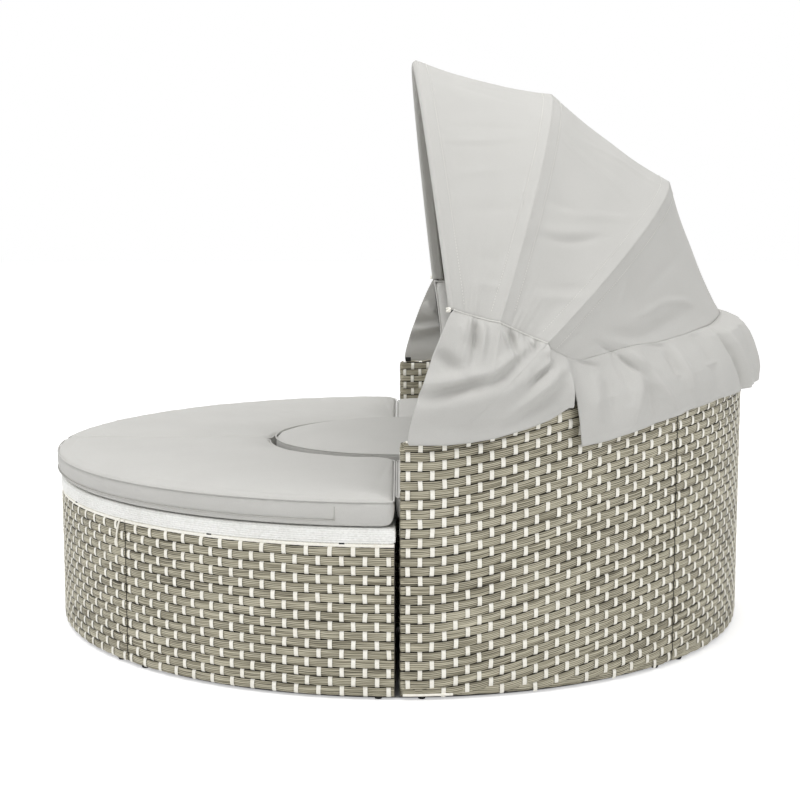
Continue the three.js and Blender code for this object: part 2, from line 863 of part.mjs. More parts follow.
// Half of the joint between two gores, as a share of the way from bow to bow.
function jointShare(from, to) {
  const top = clothOnBow(from, quarter, clothInner);
  return clothJoint / 2 / top.distanceTo(clothOnBow(to, quarter, clothInner));
}

function goreShares(from, to) {
  const joint = jointShare(from, to);
  return Array.from({ length: goreSteps + 1 }, (_, i) => (
    joint + (1 - 2 * joint) * (i / goreSteps)
  ));
}

function hemAngle(from, to, share) {
  return radians(from.hem + (to.hem - from.hem) * share);
}

function gore(from, to) {
  const grid = (offset) => goreShares(from, to).map((share) => {
    const start = hemAngle(from, to, share);
    return Array.from({ length: archSteps + 1 }, (_, j) => {
      const angle = start + (Math.PI - 2 * start) * (j / archSteps);
      return clothPoint(from, to, share, angle, offset);
    });
  });
  return sheet(grid(clothOuter), grid(clothInner));
}

// Arch angles of the rear gore: its end, the slit, even steps, the other slit and end.
function rearGoreAngles() {
  const end = radians(thirdBow.hem);
  const slit = radians(slitAngle);
  const between = Array.from({ length: archSteps + 1 }, (_, i) => (
    slit + (Math.PI - 2 * slit) * (i / archSteps)
  ));
  return [end, ...between, Math.PI - end];
}

// How far the rear gore reaches towards the rear bow at an arch angle.
function rearGoreReach(angle) {
  const fromSide = Math.min(angle, Math.PI - angle);
  const span = radians(rearBow.hem - thirdBow.hem);
  const share = THREE.MathUtils.clamp((fromSide - radians(thirdBow.hem)) / span, 0, 1);
  return Math.max(share ** rearHemShare, rearHemStartShare);
}

function rearGore() {
  const joint = jointShare(thirdBow, rearBow);
  const grid = (offset) => Array.from({ length: goreSteps + 1 }, (_, i) => (
    rearGoreAngles().map((angle) => {
      const share = joint + (rearGoreReach(angle) - joint) * (i / goreSteps);
      return clothPoint(thirdBow, rearBow, share, angle, offset);
    })
  ));
  return sheet(grid(clothOuter), grid(clothInner));
}

function makeGores() {
  place('canopy_gore_front', gore(frontBow, secondBow), 'canopy');
  place('canopy_gore_middle', gore(secondBow, thirdBow), 'canopy');
  place('canopy_gore_rear', rearGore(), 'canopy');
}

// Skirt: hangs in folds from the hem of the gores to just outside the wall

const skirtBottomRadius = bedRadius + skirtStandOff;

function rearHemPoint(angle, offset) {
  return clothPoint(thirdBow, rearBow, rearGoreReach(angle), angle, offset);
}

// A line whose end points are drawn back along it by the given lengths.
function trimmed(line, fromStart, fromEnd) {
  const back = (end, next, length) => (
    end.clone().lerp(next, length / end.distanceTo(next))
  );
  const first = back(line[0], line[1], fromStart);
  const last = back(line.at(-1), line.at(-2), fromEnd);
  return [first, ...line.slice(1, -1), last];
}

// The hem on the right side, from the front bow back to the slit.
function sideHem(offset) {
  const onGore = (from, to) => goreShares(from, to).map((share) => (
    clothPoint(from, to, share, hemAngle(from, to, share), offset)
  ));
  const line = [
    ...onGore(frontBow, secondBow),
    ...onGore(secondBow, thirdBow).slice(1),
    ...rearGoreAngles().slice(0, 2).map((angle) => rearHemPoint(angle, offset)),
  ];
  return trimmed(line, 0, slitTopGap / 2);
}

// The hem round the rear, from the right slit to the left one.
function rearHem(offset) {
  const line = rearGoreAngles().slice(1, -1).map((angle) => rearHemPoint(angle, offset));
  return trimmed(line, slitTopGap / 2, slitTopGap / 2);
}

// A line with every stretch cut into equal steps.
function divided(line, steps) {
  const points = line.slice(0, -1).flatMap((point, i) => (
    Array.from({ length: steps }, (_, k) => point.clone().lerp(line[i + 1], k / steps))
  ));
  return [...points, line.at(-1)];
}

// Grid of a skirt from its hem, a rule for its lower edge and its number of folds.
function skirtGrid(hem, lowerEdge, folds, offset) {
  return skirtHeightShares.map((heightShare, i) => hem.map((top, j) => {
    const share = j / (hem.length - 1);
    const low = lowerEdge(share);
    const topAngle = Math.atan2(top.y, top.x);
    const topRadius = Math.hypot(top.x, top.y);
    const lowRadius = skirtBottomRadius + offset - clothOuter;
    const wave = skirtFold * Math.sin(2 * Math.PI * folds * share) * Math.sqrt(heightShare);
    const radius = topRadius + (lowRadius - topRadius) * skirtFlareShares[i] + wave;
    const angle = topAngle + (low.angle - topAngle) * heightShare;
    const start = top.z - clothJoint;
    return around(radius, angle, start + (low.height - start) * heightShare);
  }));
}

function skirt(hemAt, steps, lowerEdge, folds) {
  const [outer, inner] = [clothOuter, clothInner].map((offset) => (
    skirtGrid(divided(hemAt(offset), steps), lowerEdge, folds, offset)
  ));
  return sheet(outer, inner);
}

function makeSkirt() {
  const slit = sideHem(clothOuter).at(-1);
  const slitTurn = Math.atan2(slit.y, slit.x);
  const halfSlit = slitBottomGap / 2 / skirtBottomRadius;
  const corner = Math.asin(frontCornerForward / skirtBottomRadius);
  const sideEdge = (share) => ({
    angle: corner + (slitTurn - halfSlit - corner) * share,
    height: frontBottomHeight + (slitFrontBottomHeight - frontBottomHeight) * share ** 3,
  });
  const rearEdge = (share) => ({
    angle: slitTurn + halfSlit + (Math.PI - 2 * slitTurn - 2 * halfSlit) * share,
    height: slitRearBottomHeight
      + (rearBottomHeight - slitRearBottomHeight) * Math.sqrt(Math.sin(Math.PI * share)),
  });
  const side = skirt(sideHem, hemSteps, sideEdge, sideFoldCount);
  place('canopy_skirt_right', side, 'canopy');
  place('canopy_skirt_left', mirrored(side), 'canopy');
  place('canopy_skirt_rear', skirt(rearHem, rearHemSteps, rearEdge, rearFoldCount), 'canopy');
}

// Small blocks on the front ends of the arms

function makeStops() {
  const ring = bedRadius - wallThickness / 2;
  const y = stopSetback + stopLength / 2;
  const x = Math.sqrt(ring ** 2 - y ** 2);
  for (const [side, sign] of [['right', 1], ['left', -1]]) {
    const block = new THREE.BoxGeometry(stopWidth, stopLength, stopHeight);
    const mesh = place(`arm_stop_${side}`, block, 'rubber');
    mesh.position.set(sign * x, y, wallTop + restGap + stopHeight / 2);
  }
}

makeWall();
makeBase();
makeInnerPanels('sofa', -1, restGap);
makeInnerPanels('ottoman', 1, -splitGap);
makeDecks();
makeStool();
makeCushions();
standPillow(rightPillow);
standPillow(leftPillow);
makeFeet();
makeHinges();
makeBows();
makeGores();
makeSkirt();
makeStops();

export default daybed;
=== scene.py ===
"""Looks of a round outdoor daybed with a folding canopy, in metres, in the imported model's frame."""

import logging
import math
from dataclasses import dataclass, field
from enum import Enum
from functools import reduce
from typing import Callable, Sequence

import bmesh
import bpy
import numpy as np
from mathutils import Matrix, Vector
from mathutils.kdtree import KDTree


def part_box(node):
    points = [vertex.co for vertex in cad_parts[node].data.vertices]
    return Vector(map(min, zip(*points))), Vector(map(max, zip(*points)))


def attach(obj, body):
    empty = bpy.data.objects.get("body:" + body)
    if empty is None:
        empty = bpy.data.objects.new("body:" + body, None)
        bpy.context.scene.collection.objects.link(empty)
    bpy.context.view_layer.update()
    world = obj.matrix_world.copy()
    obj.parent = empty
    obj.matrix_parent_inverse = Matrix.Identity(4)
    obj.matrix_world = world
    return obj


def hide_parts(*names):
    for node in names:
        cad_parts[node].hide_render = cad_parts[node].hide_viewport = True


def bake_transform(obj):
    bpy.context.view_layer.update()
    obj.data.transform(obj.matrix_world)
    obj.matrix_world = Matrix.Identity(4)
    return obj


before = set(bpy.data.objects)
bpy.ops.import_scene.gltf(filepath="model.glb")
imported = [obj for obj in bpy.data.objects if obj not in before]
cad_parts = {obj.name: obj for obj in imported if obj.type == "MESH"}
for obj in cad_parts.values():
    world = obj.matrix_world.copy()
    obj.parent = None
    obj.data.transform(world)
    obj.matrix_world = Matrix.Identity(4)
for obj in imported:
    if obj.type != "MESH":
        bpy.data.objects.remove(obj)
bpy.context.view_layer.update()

LOG = logging.getLogger("daybed")
Array = np.ndarray
Rgb = tuple[int, int, int]
Socket = bpy.types.NodeSocket
Thing = bpy.types.Object
Finish = bpy.types.Material
Profile = Callable[[Array], Array]
QUARTER = math.pi / 2


# Shared sizes


@dataclass(frozen=True)
class Bed:
    """Sizes that several sub-assemblies share."""

    radius: float = 0.9
    well: float = 0.35
    wall: float = 0.031
    inner_panel: float = 0.024
    wall_top: float = 0.564
    base_top: float = 0.345
    foot: float = 0.008
    deck_low: float = 0.3453
    deck_top: float = 0.3783
    cushion_low: float = 0.3788
    cushion_seam: float = 0.4376
    split: float = 0.011
    arm_corner: float = 0.015
    arm_level: float = 0.04
    wall_rise: float = 0.152
    rise_spread: float = 16.0
    pivot_y: float = 0.145
    pivot_z: float = 0.604
    joint: float = 0.0003
    inset: float = 0.0018
    backing: float = 0.0042
    deck_rim: float = 0.8655
    bead: float = 0.0042
    bead_height: float = 0.3405

    def rise(self, along: Array) -> Array:
        """Gives how much higher the wall's top is than at the arm, by the length round the bed."""
        turn = np.degrees(np.maximum(along - self.arm_level, 0) / self.radius) / self.rise_spread
        return self.wall_rise * (1 - (1 + turn) * np.exp(-turn))


BED = Bed()


class Body(Enum):
    """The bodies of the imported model."""

    SOFA = "sofa"
    OTTOMAN = "ottoman"
    STOOL = "stool"
    THIRD = "third_bow"
    SECOND = "second_bow"
    FRONT = "front_bow"


class Slot(Enum):
    """The record's material slots."""

    WICKER = "wicker"
    RIM = "rim"
    TUBE = "bow_tube"
    BRACKET = "bracket"
    BOLT = "bolt"
    GLIDE = "glide"
    SEAT = "seat_cloth"
    CANOPY = "canopy_cloth"


# Finishes


def tint(colour: Rgb) -> tuple[float, ...]:
    """Turns a colour of 0 to 255 per channel, as it shows on a screen, into linear light.

    Args:
        colour: Red, green and blue.

    Returns:
        Linear red, green, blue and a full alpha.
    """
    shares = [c / 255 for c in colour]
    return (*(s / 12.92 if s < 0.0404 else ((s + 0.055) / 1.055) ** 2.4 for s in shares), 1.0)


class Nodes:
    """A node tree while it is put together."""

    def __init__(self, tree: bpy.types.NodeTree) -> None:
        """Takes the tree."""
        self.tree = tree

    def fill(self, socket: Socket, value: object) -> None:
        """Links a node's input to a socket, or sets it to a value.

        Args:
            socket: The input.
            value: A socket to link, or a value.
        """
        if isinstance(value, Socket):
            self.tree.links.new(value, socket)
        else:
            socket.default_value = value

    def add(self, kind: str, inputs: dict | None = None, **settings: object) -> bpy.types.Node:
        """Adds a node, sets it and links or fills its inputs.

        Args:
            kind: Type of the node.
            inputs: Sockets or values for the node's inputs, by name or number.
            **settings: Properties of the node.

        Returns:
            The new node.
        """
        node = self.tree.nodes.new(kind)
        for key, value in settings.items():
            setattr(node, key, value)
        for key, value in (inputs or {}).items():
            self.fill(node.inputs[key], value)
        return node

    def out(self, kind: str, inputs: dict | None = None, **settings: object) -> Socket:
        """Adds a node and gives its first output."""
        return self.add(kind, inputs, **settings).outputs[0]

    def math(self, operation: str, a: object, b: object = 0.0) -> Socket:
        """Works out one or two values."""
        return self.out("ShaderNodeMath", {0: a, 1: b}, operation=operation)

    def plus(self, *values: object) -> Socket:
        """Adds values up."""
        return reduce(lambda a, b: self.math("ADD", a, b), values)

    def times(self, *values: object) -> Socket:
        """Multiplies values."""
        return reduce(lambda a, b: self.math("MULTIPLY", a, b), values)

    def vector(self, *values: object) -> Socket:
        """Puts two or three values together."""
        return self.out("ShaderNodeCombineXYZ", dict(enumerate(values)))


class Paint(Nodes):
    """A node material while it is put together."""

    def __init__(self, name: str, roughness: float) -> None:
        """Starts a material with its shader, of one roughness all over.

        Args:
            name: Name of the material.
            roughness: Its roughness.
        """
        self.material = bpy.data.materials.new(name)
        self.material.use_nodes = True
        super().__init__(self.material.node_tree)
        self.shader = self.tree.nodes["Principled BSDF"]
        self.set("Roughness", roughness)
        self.place = self.add("ShaderNodeTexCoord").outputs["Object"]

    def set(self, label: str, value: object) -> None:
        """Links or sets one of the shader's inputs."""
        self.fill(self.shader.inputs[label], value)

    def noise(self, scale: float, detail: float = 2.0, vector: Socket | None = None,
              output: str = "Fac") -> Socket:
        """Adds a noise pattern on the object's coordinates, or on the vector given."""
        inputs = {"Vector": vector or self.place, "Scale": scale, "Detail": detail}
        return self.add("ShaderNodeTexNoise", inputs).outputs[output]

    def attribute(self, name: str) -> Socket:
        """Reads a number that is stored on the mesh."""
        return self.add("ShaderNodeAttribute", attribute_name=name).outputs["Fac"]

    def colour(self, value: Socket, *stops: tuple[float, Rgb]) -> None:
        """Colours the surface by a value.

        Args:
            value: Socket that drives the colour.
            *stops: Places from 0 to 1 and their colours.
        """
        node = self.add("ShaderNodeValToRGB", {0: value})
        elements = node.color_ramp.elements
        while len(elements) < len(stops):
            elements.new(0.5)
        for element, (place, colour) in zip(elements, stops):
            element.position = place
            element.color = tint(colour)
        self.set("Base Color", node.outputs["Color"])

    def bump(self, height: Socket, strength: float, depth: float) -> None:
        """Gives the shader a fine relief.

        Args:
            height: Socket with the relief.
            strength: How much of it shows.
            depth: Height of the relief in metres.
        """
        inputs = {"Height": height, "Strength": strength, "Distance": depth}
        self.set("Normal", self.out("ShaderNodeBump", inputs))

    def rough(self, value: Socket, low: float, high: float) -> None:
        """Varies the roughness between two limits by a value from 0 to 1."""
        inputs = {"Value": value, "To Min": low, "To Max": high}
        self.set("Roughness", self.out("ShaderNodeMapRange", inputs))


@dataclass(frozen=True)
class ClothFinish:
    """Woven outdoor cloth with a melange and a soft nap."""

    name: str
    colour: Rgb
    shade: Rgb
    thread: float = 0.0011
    stir: float = 0.004
    melange: float = 0.35
    relief: float = 0.00025
    crinkle: float = 0.0
    sheen: float = 0.12

    def weave(self, paint: Paint) -> Socket:
        """Crosses waves as fine as the thread, stirred so that they form no moire.

        Args:
            paint: The material that the weave goes into.

        Returns:
            The relief of the threads.
        """
        stir = paint.noise(70.0, 1.0, output="Color")
        stirred = paint.out("ShaderNodeVectorMath", {0: stir, 1: (self.stir,) * 3, 2: paint.place},
                            operation="MULTIPLY_ADD")
        split = paint.add("ShaderNodeSeparateXYZ", {0: stirred})
        turn = 2 * math.pi / self.thread
        waves = [paint.math("SINE", paint.times(split.outputs[i], turn)) for i in range(3)]
        return paint.plus(*(paint.times(waves[i], waves[(i + 1) % 3]) for i in range(3)))

    def material(self) -> Finish:
        """Builds the material.

        Returns:
            The material.
        """
        paint = Paint(self.name, 0.92)
        weave = self.weave(paint)
        fibre = paint.noise(420.0, 3.0)
        cloud = paint.times(paint.noise(5.0, 3.0), 0.3)
        tone = paint.plus(paint.times(fibre, self.melange), 0.33, cloud, paint.times(weave, 0.03))
        paint.colour(tone, (0.3, self.shade), (0.8, self.colour))
        height = paint.plus(weave, paint.times(fibre, 1.5))
        if self.crinkle:
            bulge = paint.times(paint.noise(26.0, 4.0), self.crinkle / self.relief)
            height = paint.plus(height, bulge)
        paint.bump(height, 0.6, self.relief)
        paint.rough(fibre, 0.86, 0.98)
        paint.set("Sheen Weight", self.sheen)
        paint.set("Sheen Roughness", 0.5)
        paint.set("Specular IOR Level", 0.25)
        return paint.material


@dataclass(frozen=True)
class RibbonFinish:
    """Flat ribbed resin ribbon with long streaks of lighter and darker tone, and painted shade along
    its edges and in the valleys between its ridges.
    """

    name: str
    dark: Rgb
    middle: Rgb
    light: Rgb
    ridges: int = 5
    lines: int = 15
    relief: float = 0.00018

    def material(self) -> Finish:
        """Builds the material.

        Returns:
            The material.
        """
        paint = Paint(self.name, 0.55)
        across, tone, travel = (paint.attribute(name) for name in ("across", "tone", "travel"))
        along = paint.vector(
            paint.times(travel, 9.0), paint.times(across, 10.0), paint.times(tone, 97.0)
        )
        streak = paint.noise(1.0, 3.0, along)
        wide = paint.vector(paint.times(travel, 4.0), 0.0, paint.times(tone, 53.0))
        drift = paint.noise(1.0, 2.0, wide)
        # Painted shade: darker towards both edges of the ribbon, where it tucks under its neighbours.
        edge = paint.math("ABSOLUTE", paint.plus(across, -0.5))
        edge = paint.math("POWER", paint.times(edge, 2.0), 5.0)
        # Painted shade: darker lines in the valleys between the ribbon's ridges.
        ridge = paint.math("COSINE", paint.times(across, 2 * math.pi * self.ridges, 0.5))
        valley_shade = paint.math("POWER", paint.math("ABSOLUTE", ridge), 3.0)
        # The streak and drift terms are the ribbon's own tone; the edge and valley terms are painted
        # shade.
        value = paint.plus(
            paint.times(streak, 1.9), -0.42, paint.times(drift, 0.45),
            paint.times(edge, -0.45), paint.times(valley_shade, -0.5),
        )
        paint.colour(value, (0.06, self.dark), (0.44, self.middle), (0.84, self.light))
        fine = paint.math("SINE", paint.times(across, 2 * math.pi * self.lines))
        paint.bump(paint.plus(fine, paint.times(streak, 2.0)), 0.5, self.relief)
        paint.rough(streak, 0.62, 0.45)
        return paint.material


@dataclass(frozen=True)
class ResinFinish:
    """Pale resin strand, with faint lengthwise marks and darker patches at random."""

    name: str
    colour: Rgb
    shade: Rgb
    grain: float = 160.0

    def material(self) -> Finish:
        """Builds the material.

        Returns:
            The material.
        """
        paint = Paint(self.name, 0.5)
        mark = paint.noise(self.grain, 3.0)
        tone = paint.plus(paint.times(mark, 0.6), paint.times(paint.noise(11.0, 2.0), 0.4))
        paint.colour(tone, (0.25, self.shade), (0.6, self.colour))
        paint.bump(mark, 0.35, 0.0003)
        paint.rough(mark, 0.4, 0.6)
        return paint.material


@dataclass(frozen=True)
class HardFinish:
    """Coated metal, bare steel or moulded rubber, with wear in its gloss."""

    name: str
    colour: Rgb
    worn: Rgb
    metallic: float
    low: float
    high: float
    grain: float = 90.0

    def material(self) -> Finish:
        """Builds the material.

        Returns:
            The material.
        """
        paint = Paint(self.name, self.high)
        patch = paint.noise(14.0, 3.0)
        tone = paint.times(paint.noise(self.grain, 4.0), patch)
        paint.colour(tone, (0.2, self.colour), (0.55, self.worn))
        paint.bump(paint.noise(900.0, 2.0), 0.25, 0.0002)
        paint.rough(patch, self.low, self.high)
        paint.set("Metallic", self.metallic)
        return paint.material


class Palette:
    """Every material of the daybed, made once."""

    def __init__(self) -> None:
        """Builds the materials."""
        # The ribbon's dark stop is reached by its own streaks and by the painted shade at its edges
        # and ridge valleys.
        self.ribbon = RibbonFinish(
            "greige_ribbon", (58, 53, 38), (144, 138, 117), (210, 204, 182)
        ).material()
        self.strand = ResinFinish("white_strand", (252, 250, 241), (238, 233, 220)).material()
        self.rim = ResinFinish("white_rim_strand", (250, 250, 247), (228, 228, 223)).material()
        self.board = ResinFinish("woven_board", (150, 148, 138), (96, 94, 84), 300.0).material()
        # Near black: painted shade for the hollow behind the weave, seen between the ribbons and at
        # the panel seams.
        self.core = ResinFinish("weave_backing", (38, 35, 27), (20, 18, 13)).material()
        self.seat = ClothFinish("seat_cloth_grey", (210, 209, 205), (194, 193, 189)).material()
        self.middle = ClothFinish("stool_cloth_grey", (206, 205, 201), (190, 189, 185)).material()
        self.canopy = ClothFinish(
            "canopy_cloth_grey", (206, 205, 201), (193, 192, 188), crinkle=0.0009, sheen=0.04
        ).material()
        # The canopy cloth made darker for the canopy's inner side: painted shade.
        self.inside_shade = ClothFinish("canopy_lining", (146, 145, 134), (124, 123, 112)).material()
        # Thread lighter than the cloth: partly the thread's own colour, partly a painted highlight
        # along the raised seams and hems.
        self.thread = ClothFinish("seam_thread_highlight", (236, 235, 230), (222, 221, 216)).material()
        self.zip = HardFinish("zip_tape", (176, 175, 170), (186, 185, 180), 0, 0.7, 0.9).material()
        self.tube = HardFinish("dark_coat", (40, 40, 39), (62, 61, 59), 0.25, 0.35, 0.6).material()
        self.steel = HardFinish(
            "zinc_steel", (176, 178, 178), (140, 141, 140), 1, 0.25, 0.5
        ).material()
        self.rubber = HardFinish("black_rubber", (22, 22, 22), (40, 39, 38), 0, 0.7, 0.9).material()


# Trees of Geometry Nodes


class Tree(Nodes):
    """A Geometry Nodes tree with named inputs, run on a mesh to give a plain object."""

    def __init__(self, name: str) -> None:
        """Starts the tree with its geometry sockets.

        Args:
            name: Name of the tree.
        """
        super().__init__(bpy.data.node_groups.new(name, "GeometryNodeTree"))
        self.sockets: dict[str, str] = {}
        for way in ("INPUT", "OUTPUT"):
            self.tree.interface.new_socket("Geometry", in_out=way, socket_type="NodeSocketGeometry")
        self.start = self.add("NodeGroupInput")
        self.end = self.add("NodeGroupOutput")
        self.geometry = self.start.outputs[0]

    def size(self, label: str, kind: str = "NodeSocketFloat") -> Socket:
        """Adds a named input to the tree.

        Args:
            label: Name of the input.
            kind: Type of its socket.

        Returns:
            The input's socket.
        """
        item = self.tree.interface.new_socket(label, in_out="INPUT", socket_type=kind)
        self.sockets[label] = item.identifier
        return self.start.outputs[label]

    def named(self, name: str, kind: str = "FLOAT") -> Socket:
        """Reads an attribute of the mesh that the tree runs on."""
        node = self.add("GeometryNodeInputNamedAttribute", {"Name": name}, data_type=kind)
        return node.outputs["Attribute"]

    def scatter(self, shape: Socket, **turn: Socket) -> None:
        """Ends the tree in a copy of a shape on every point.

        Args:
            shape: The shape that is copied.
            **turn: How each copy is turned.
        """
        points = self.out("GeometryNodeMeshToPoints", {0: self.geometry})
        inputs = {"Points": points, "Instance": shape, **turn}
        self.close(self.out("GeometryNodeInstanceOnPoints", inputs))

    def close(self, geometry: Socket) -> None:
        """Ends the tree in smooth, real geometry with its material.

        Args:
            geometry: What the tree has made.
        """
        smooth = self.out("GeometryNodeSetShadeSmooth", {"Geometry": geometry})
        real = self.out("GeometryNodeRealizeInstances", {"Geometry": smooth})
        material = self.size("Material", "NodeSocketMaterial")
        done = self.out("GeometryNodeSetMaterial", {"Geometry": real, "Material": material})
        self.fill(self.end.inputs[0], done)

    def grow(self, name: str, mesh: bpy.types.Mesh, **values: object) -> Thing:
        """Runs the tree on a mesh.

        Args:
            name: Name of the object.
            mesh: Points or lines that the tree reads.
            **values: The tree's inputs by label.

        Returns:
            An object with the plain mesh that the tree made.
        """
        thing = placed(name, mesh)
        modifier = thing.modifiers.new("grow", "NODES")
        modifier.node_group = self.tree
        for label, value in values.items():
            modifier[self.sockets[label]] = value
        graph = bpy.context.evaluated_depsgraph_get()
        made = bpy.data.meshes.new_from_object(
            thing.evaluated_get(graph), preserve_all_data_layers=True, depsgraph=graph
        )
        thing.modifiers.clear()
        thing.data = made
        made.name = name
        return thing


def ribbon_tree() -> Tree:
    """Sweeps a ribbed flat ribbon along lines, turned by their tilt.

    Returns:
        The tree.
    """
    tree = Tree("RibbonAlongLines")
    width, relief, crown = (tree.size(label) for label in ("Width", "Relief", "Crown"))
    ridges = tree.size("Ridges", "NodeSocketInt")
    curve = tree.out("GeometryNodeMeshToCurve", {0: tree.geometry})
    curve = tree.out("GeometryNodeSetCurveNormal", {0: curve}, mode="Z_UP")
    curve = tree.out("GeometryNodeSetCurveTilt", {0: curve, "Tilt": tree.named("tilt")})
    line = tree.out("GeometryNodeCurvePrimitiveLine")
    count = tree.plus(tree.times(ridges, 2.0), 1.0)
    line = tree.out("GeometryNodeResampleCurve", {0: line, "Count": count})
    share = tree.add("GeometryNodeSplineParameter").outputs["Factor"]
    stored = {0: line, "Name": "across", "Value": share}
    line = tree.out("GeometryNodeStoreNamedAttribute", stored)
    share = tree.named("across")
    side = tree.plus(tree.times(share, 2.0), -1.0)
    swell = tree.math("SUBTRACT", 1.0, tree.math("POWER", tree.math("ABSOLUTE", side), 2.5))
    turns = tree.times(share, ridges, 2 * math.pi)
    ridge = tree.times(tree.math("SUBTRACT", 1.0, tree.math("COSINE", turns)), 0.5)
    height = tree.plus(tree.times(swell, crown), tree.times(ridge, relief))
    spot = tree.vector(height, tree.times(side, width, 0.5))
    line = tree.out("GeometryNodeSetPosition", {0: line, "Position": spot})
    tree.close(tree.out("GeometryNodeCurveToMesh", {0: curve, 1: line}))
    return tree


def tube_tree() -> Tree:
    """Sweeps a round tube with capped ends along lines.

    Returns:
        The tree.
    """
    tree = Tree("TubeAlongLines")
    inputs = {"Radius": tree.size("Radius"), "Resolution": tree.size("Sides", "NodeSocketInt")}
    curve = tree.out("GeometryNodeMeshToCurve", {0: tree.geometry})
    ring = tree.out("GeometryNodeCurvePrimitiveCircle", inputs)
    tree.close(tree.out("GeometryNodeCurveToMesh", {0: curve, 1: ring, "Fill Caps": True}))
    return tree


def stitch_tree() -> Tree:
    """Lays a short curved strip on every point, facing out and lying along the point's line.

    Returns:
        The tree.
    """
    tree = Tree("StripOnPoints")
    width, length, rise, dive = (tree.size(n) for n in ("Width", "Length", "Rise", "Dive"))
    corners = {"Size X": width, "Size Y": length, "Vertices X": 4, "Vertices Y": 7}
    grid = tree.out("GeometryNodeMeshGrid", corners)
    split = tree.add("ShaderNodeSeparateXYZ", {0: tree.out("GeometryNodeInputPosition")})
    along = tree.math("DIVIDE", tree.times(split.outputs[1], 2.0), length)
    side = tree.math("DIVIDE", tree.times(split.outputs[0], 2.0), width)
    fall = tree.times(tree.math("POWER", tree.math("ABSOLUTE", along), 4.0), dive)
    camber = tree.times(side, side, 0.0004)
    height = tree.math("SUBTRACT", tree.math("SUBTRACT", rise, fall), camber)
    lift = tree.vector(0.0, 0.0, height)
    strip = tree.out("GeometryNodeSetPosition", {0: grid, "Offset": lift})
    out, up = (tree.named(name, "FLOAT_VECTOR") for name in ("face_out", "face_up"))
    align = "FunctionNodeAlignRotationToVector"
    face = tree.out(align, {"Vector": out}, axis="Z")
    laid = tree.out(align, {"Rotation": face, "Vector": up}, axis="Y", pivot_axis="Z")
    tree.scatter(strip, Rotation=laid)
    return tree


def glide_tree() -> Tree:
    """Stands a turned glide with a stem plate on every point.

    Returns:
        The tree.
    """
    tree = Tree("GlideOnPoints")
    radius, height = (tree.size(label) for label in ("Radius", "Height"))
    lower = tree.times(height, 0.55)
    foot = tree.out("GeometryNodeMeshCone", {
        "Vertices": 20, "Side Segments": 3, "Depth": lower,
        "Radius Top": radius, "Radius Bottom": tree.times(radius, 0.8),
    })
    plate = tree.out("GeometryNodeMeshCone", {
        "Vertices": 20, "Depth": tree.math("SUBTRACT", height, lower),
        "Radius Top": tree.times(radius, 0.72), "Radius Bottom": radius,
    })
    raised = tree.vector(0.0, 0.0, lower)
    plate = tree.out("GeometryNodeTransform", {"Geometry": plate, "Translation": raised})
    both = tree.add("GeometryNodeJoinGeometry")
    for part in (plate, foot):
        tree.fill(both.inputs[0], part)
    tree.scatter(both.outputs[0])
    return tree


def placed(name: str, data: bpy.types.ID) -> Thing:
    """Puts an object with its data into the scene.

    Args:
        name: Name of the object.
        data: Its mesh, lamp or camera.

    Returns:
        The object.
    """
    thing = bpy.data.objects.new(name, data)
    bpy.context.scene.collection.objects.link(thing)
    return thing


def surfaced(mesh: bpy.types.Mesh, material: Finish, smooth: bool = True) -> None:
    """Gives a mesh its shading and its finish."""
    mesh.polygons.foreach_set("use_smooth", [smooth] * len(mesh.polygons))
    mesh.materials.append(material)


def around(radius: Array | float, angle: Array | float, height: Array | float) -> Array:
    """Gives points round the Z axis, by their distance from it, angle and height."""
    parts = np.broadcast_arrays(radius * np.cos(angle), radius * np.sin(angle), height)
    return np.stack(parts, -1)


def lengths(line: Array) -> Array:
    """Gives how far along a line each of its points lies."""
    return np.concatenate([[0], np.cumsum(np.linalg.norm(np.diff(line, axis=0), axis=1))])


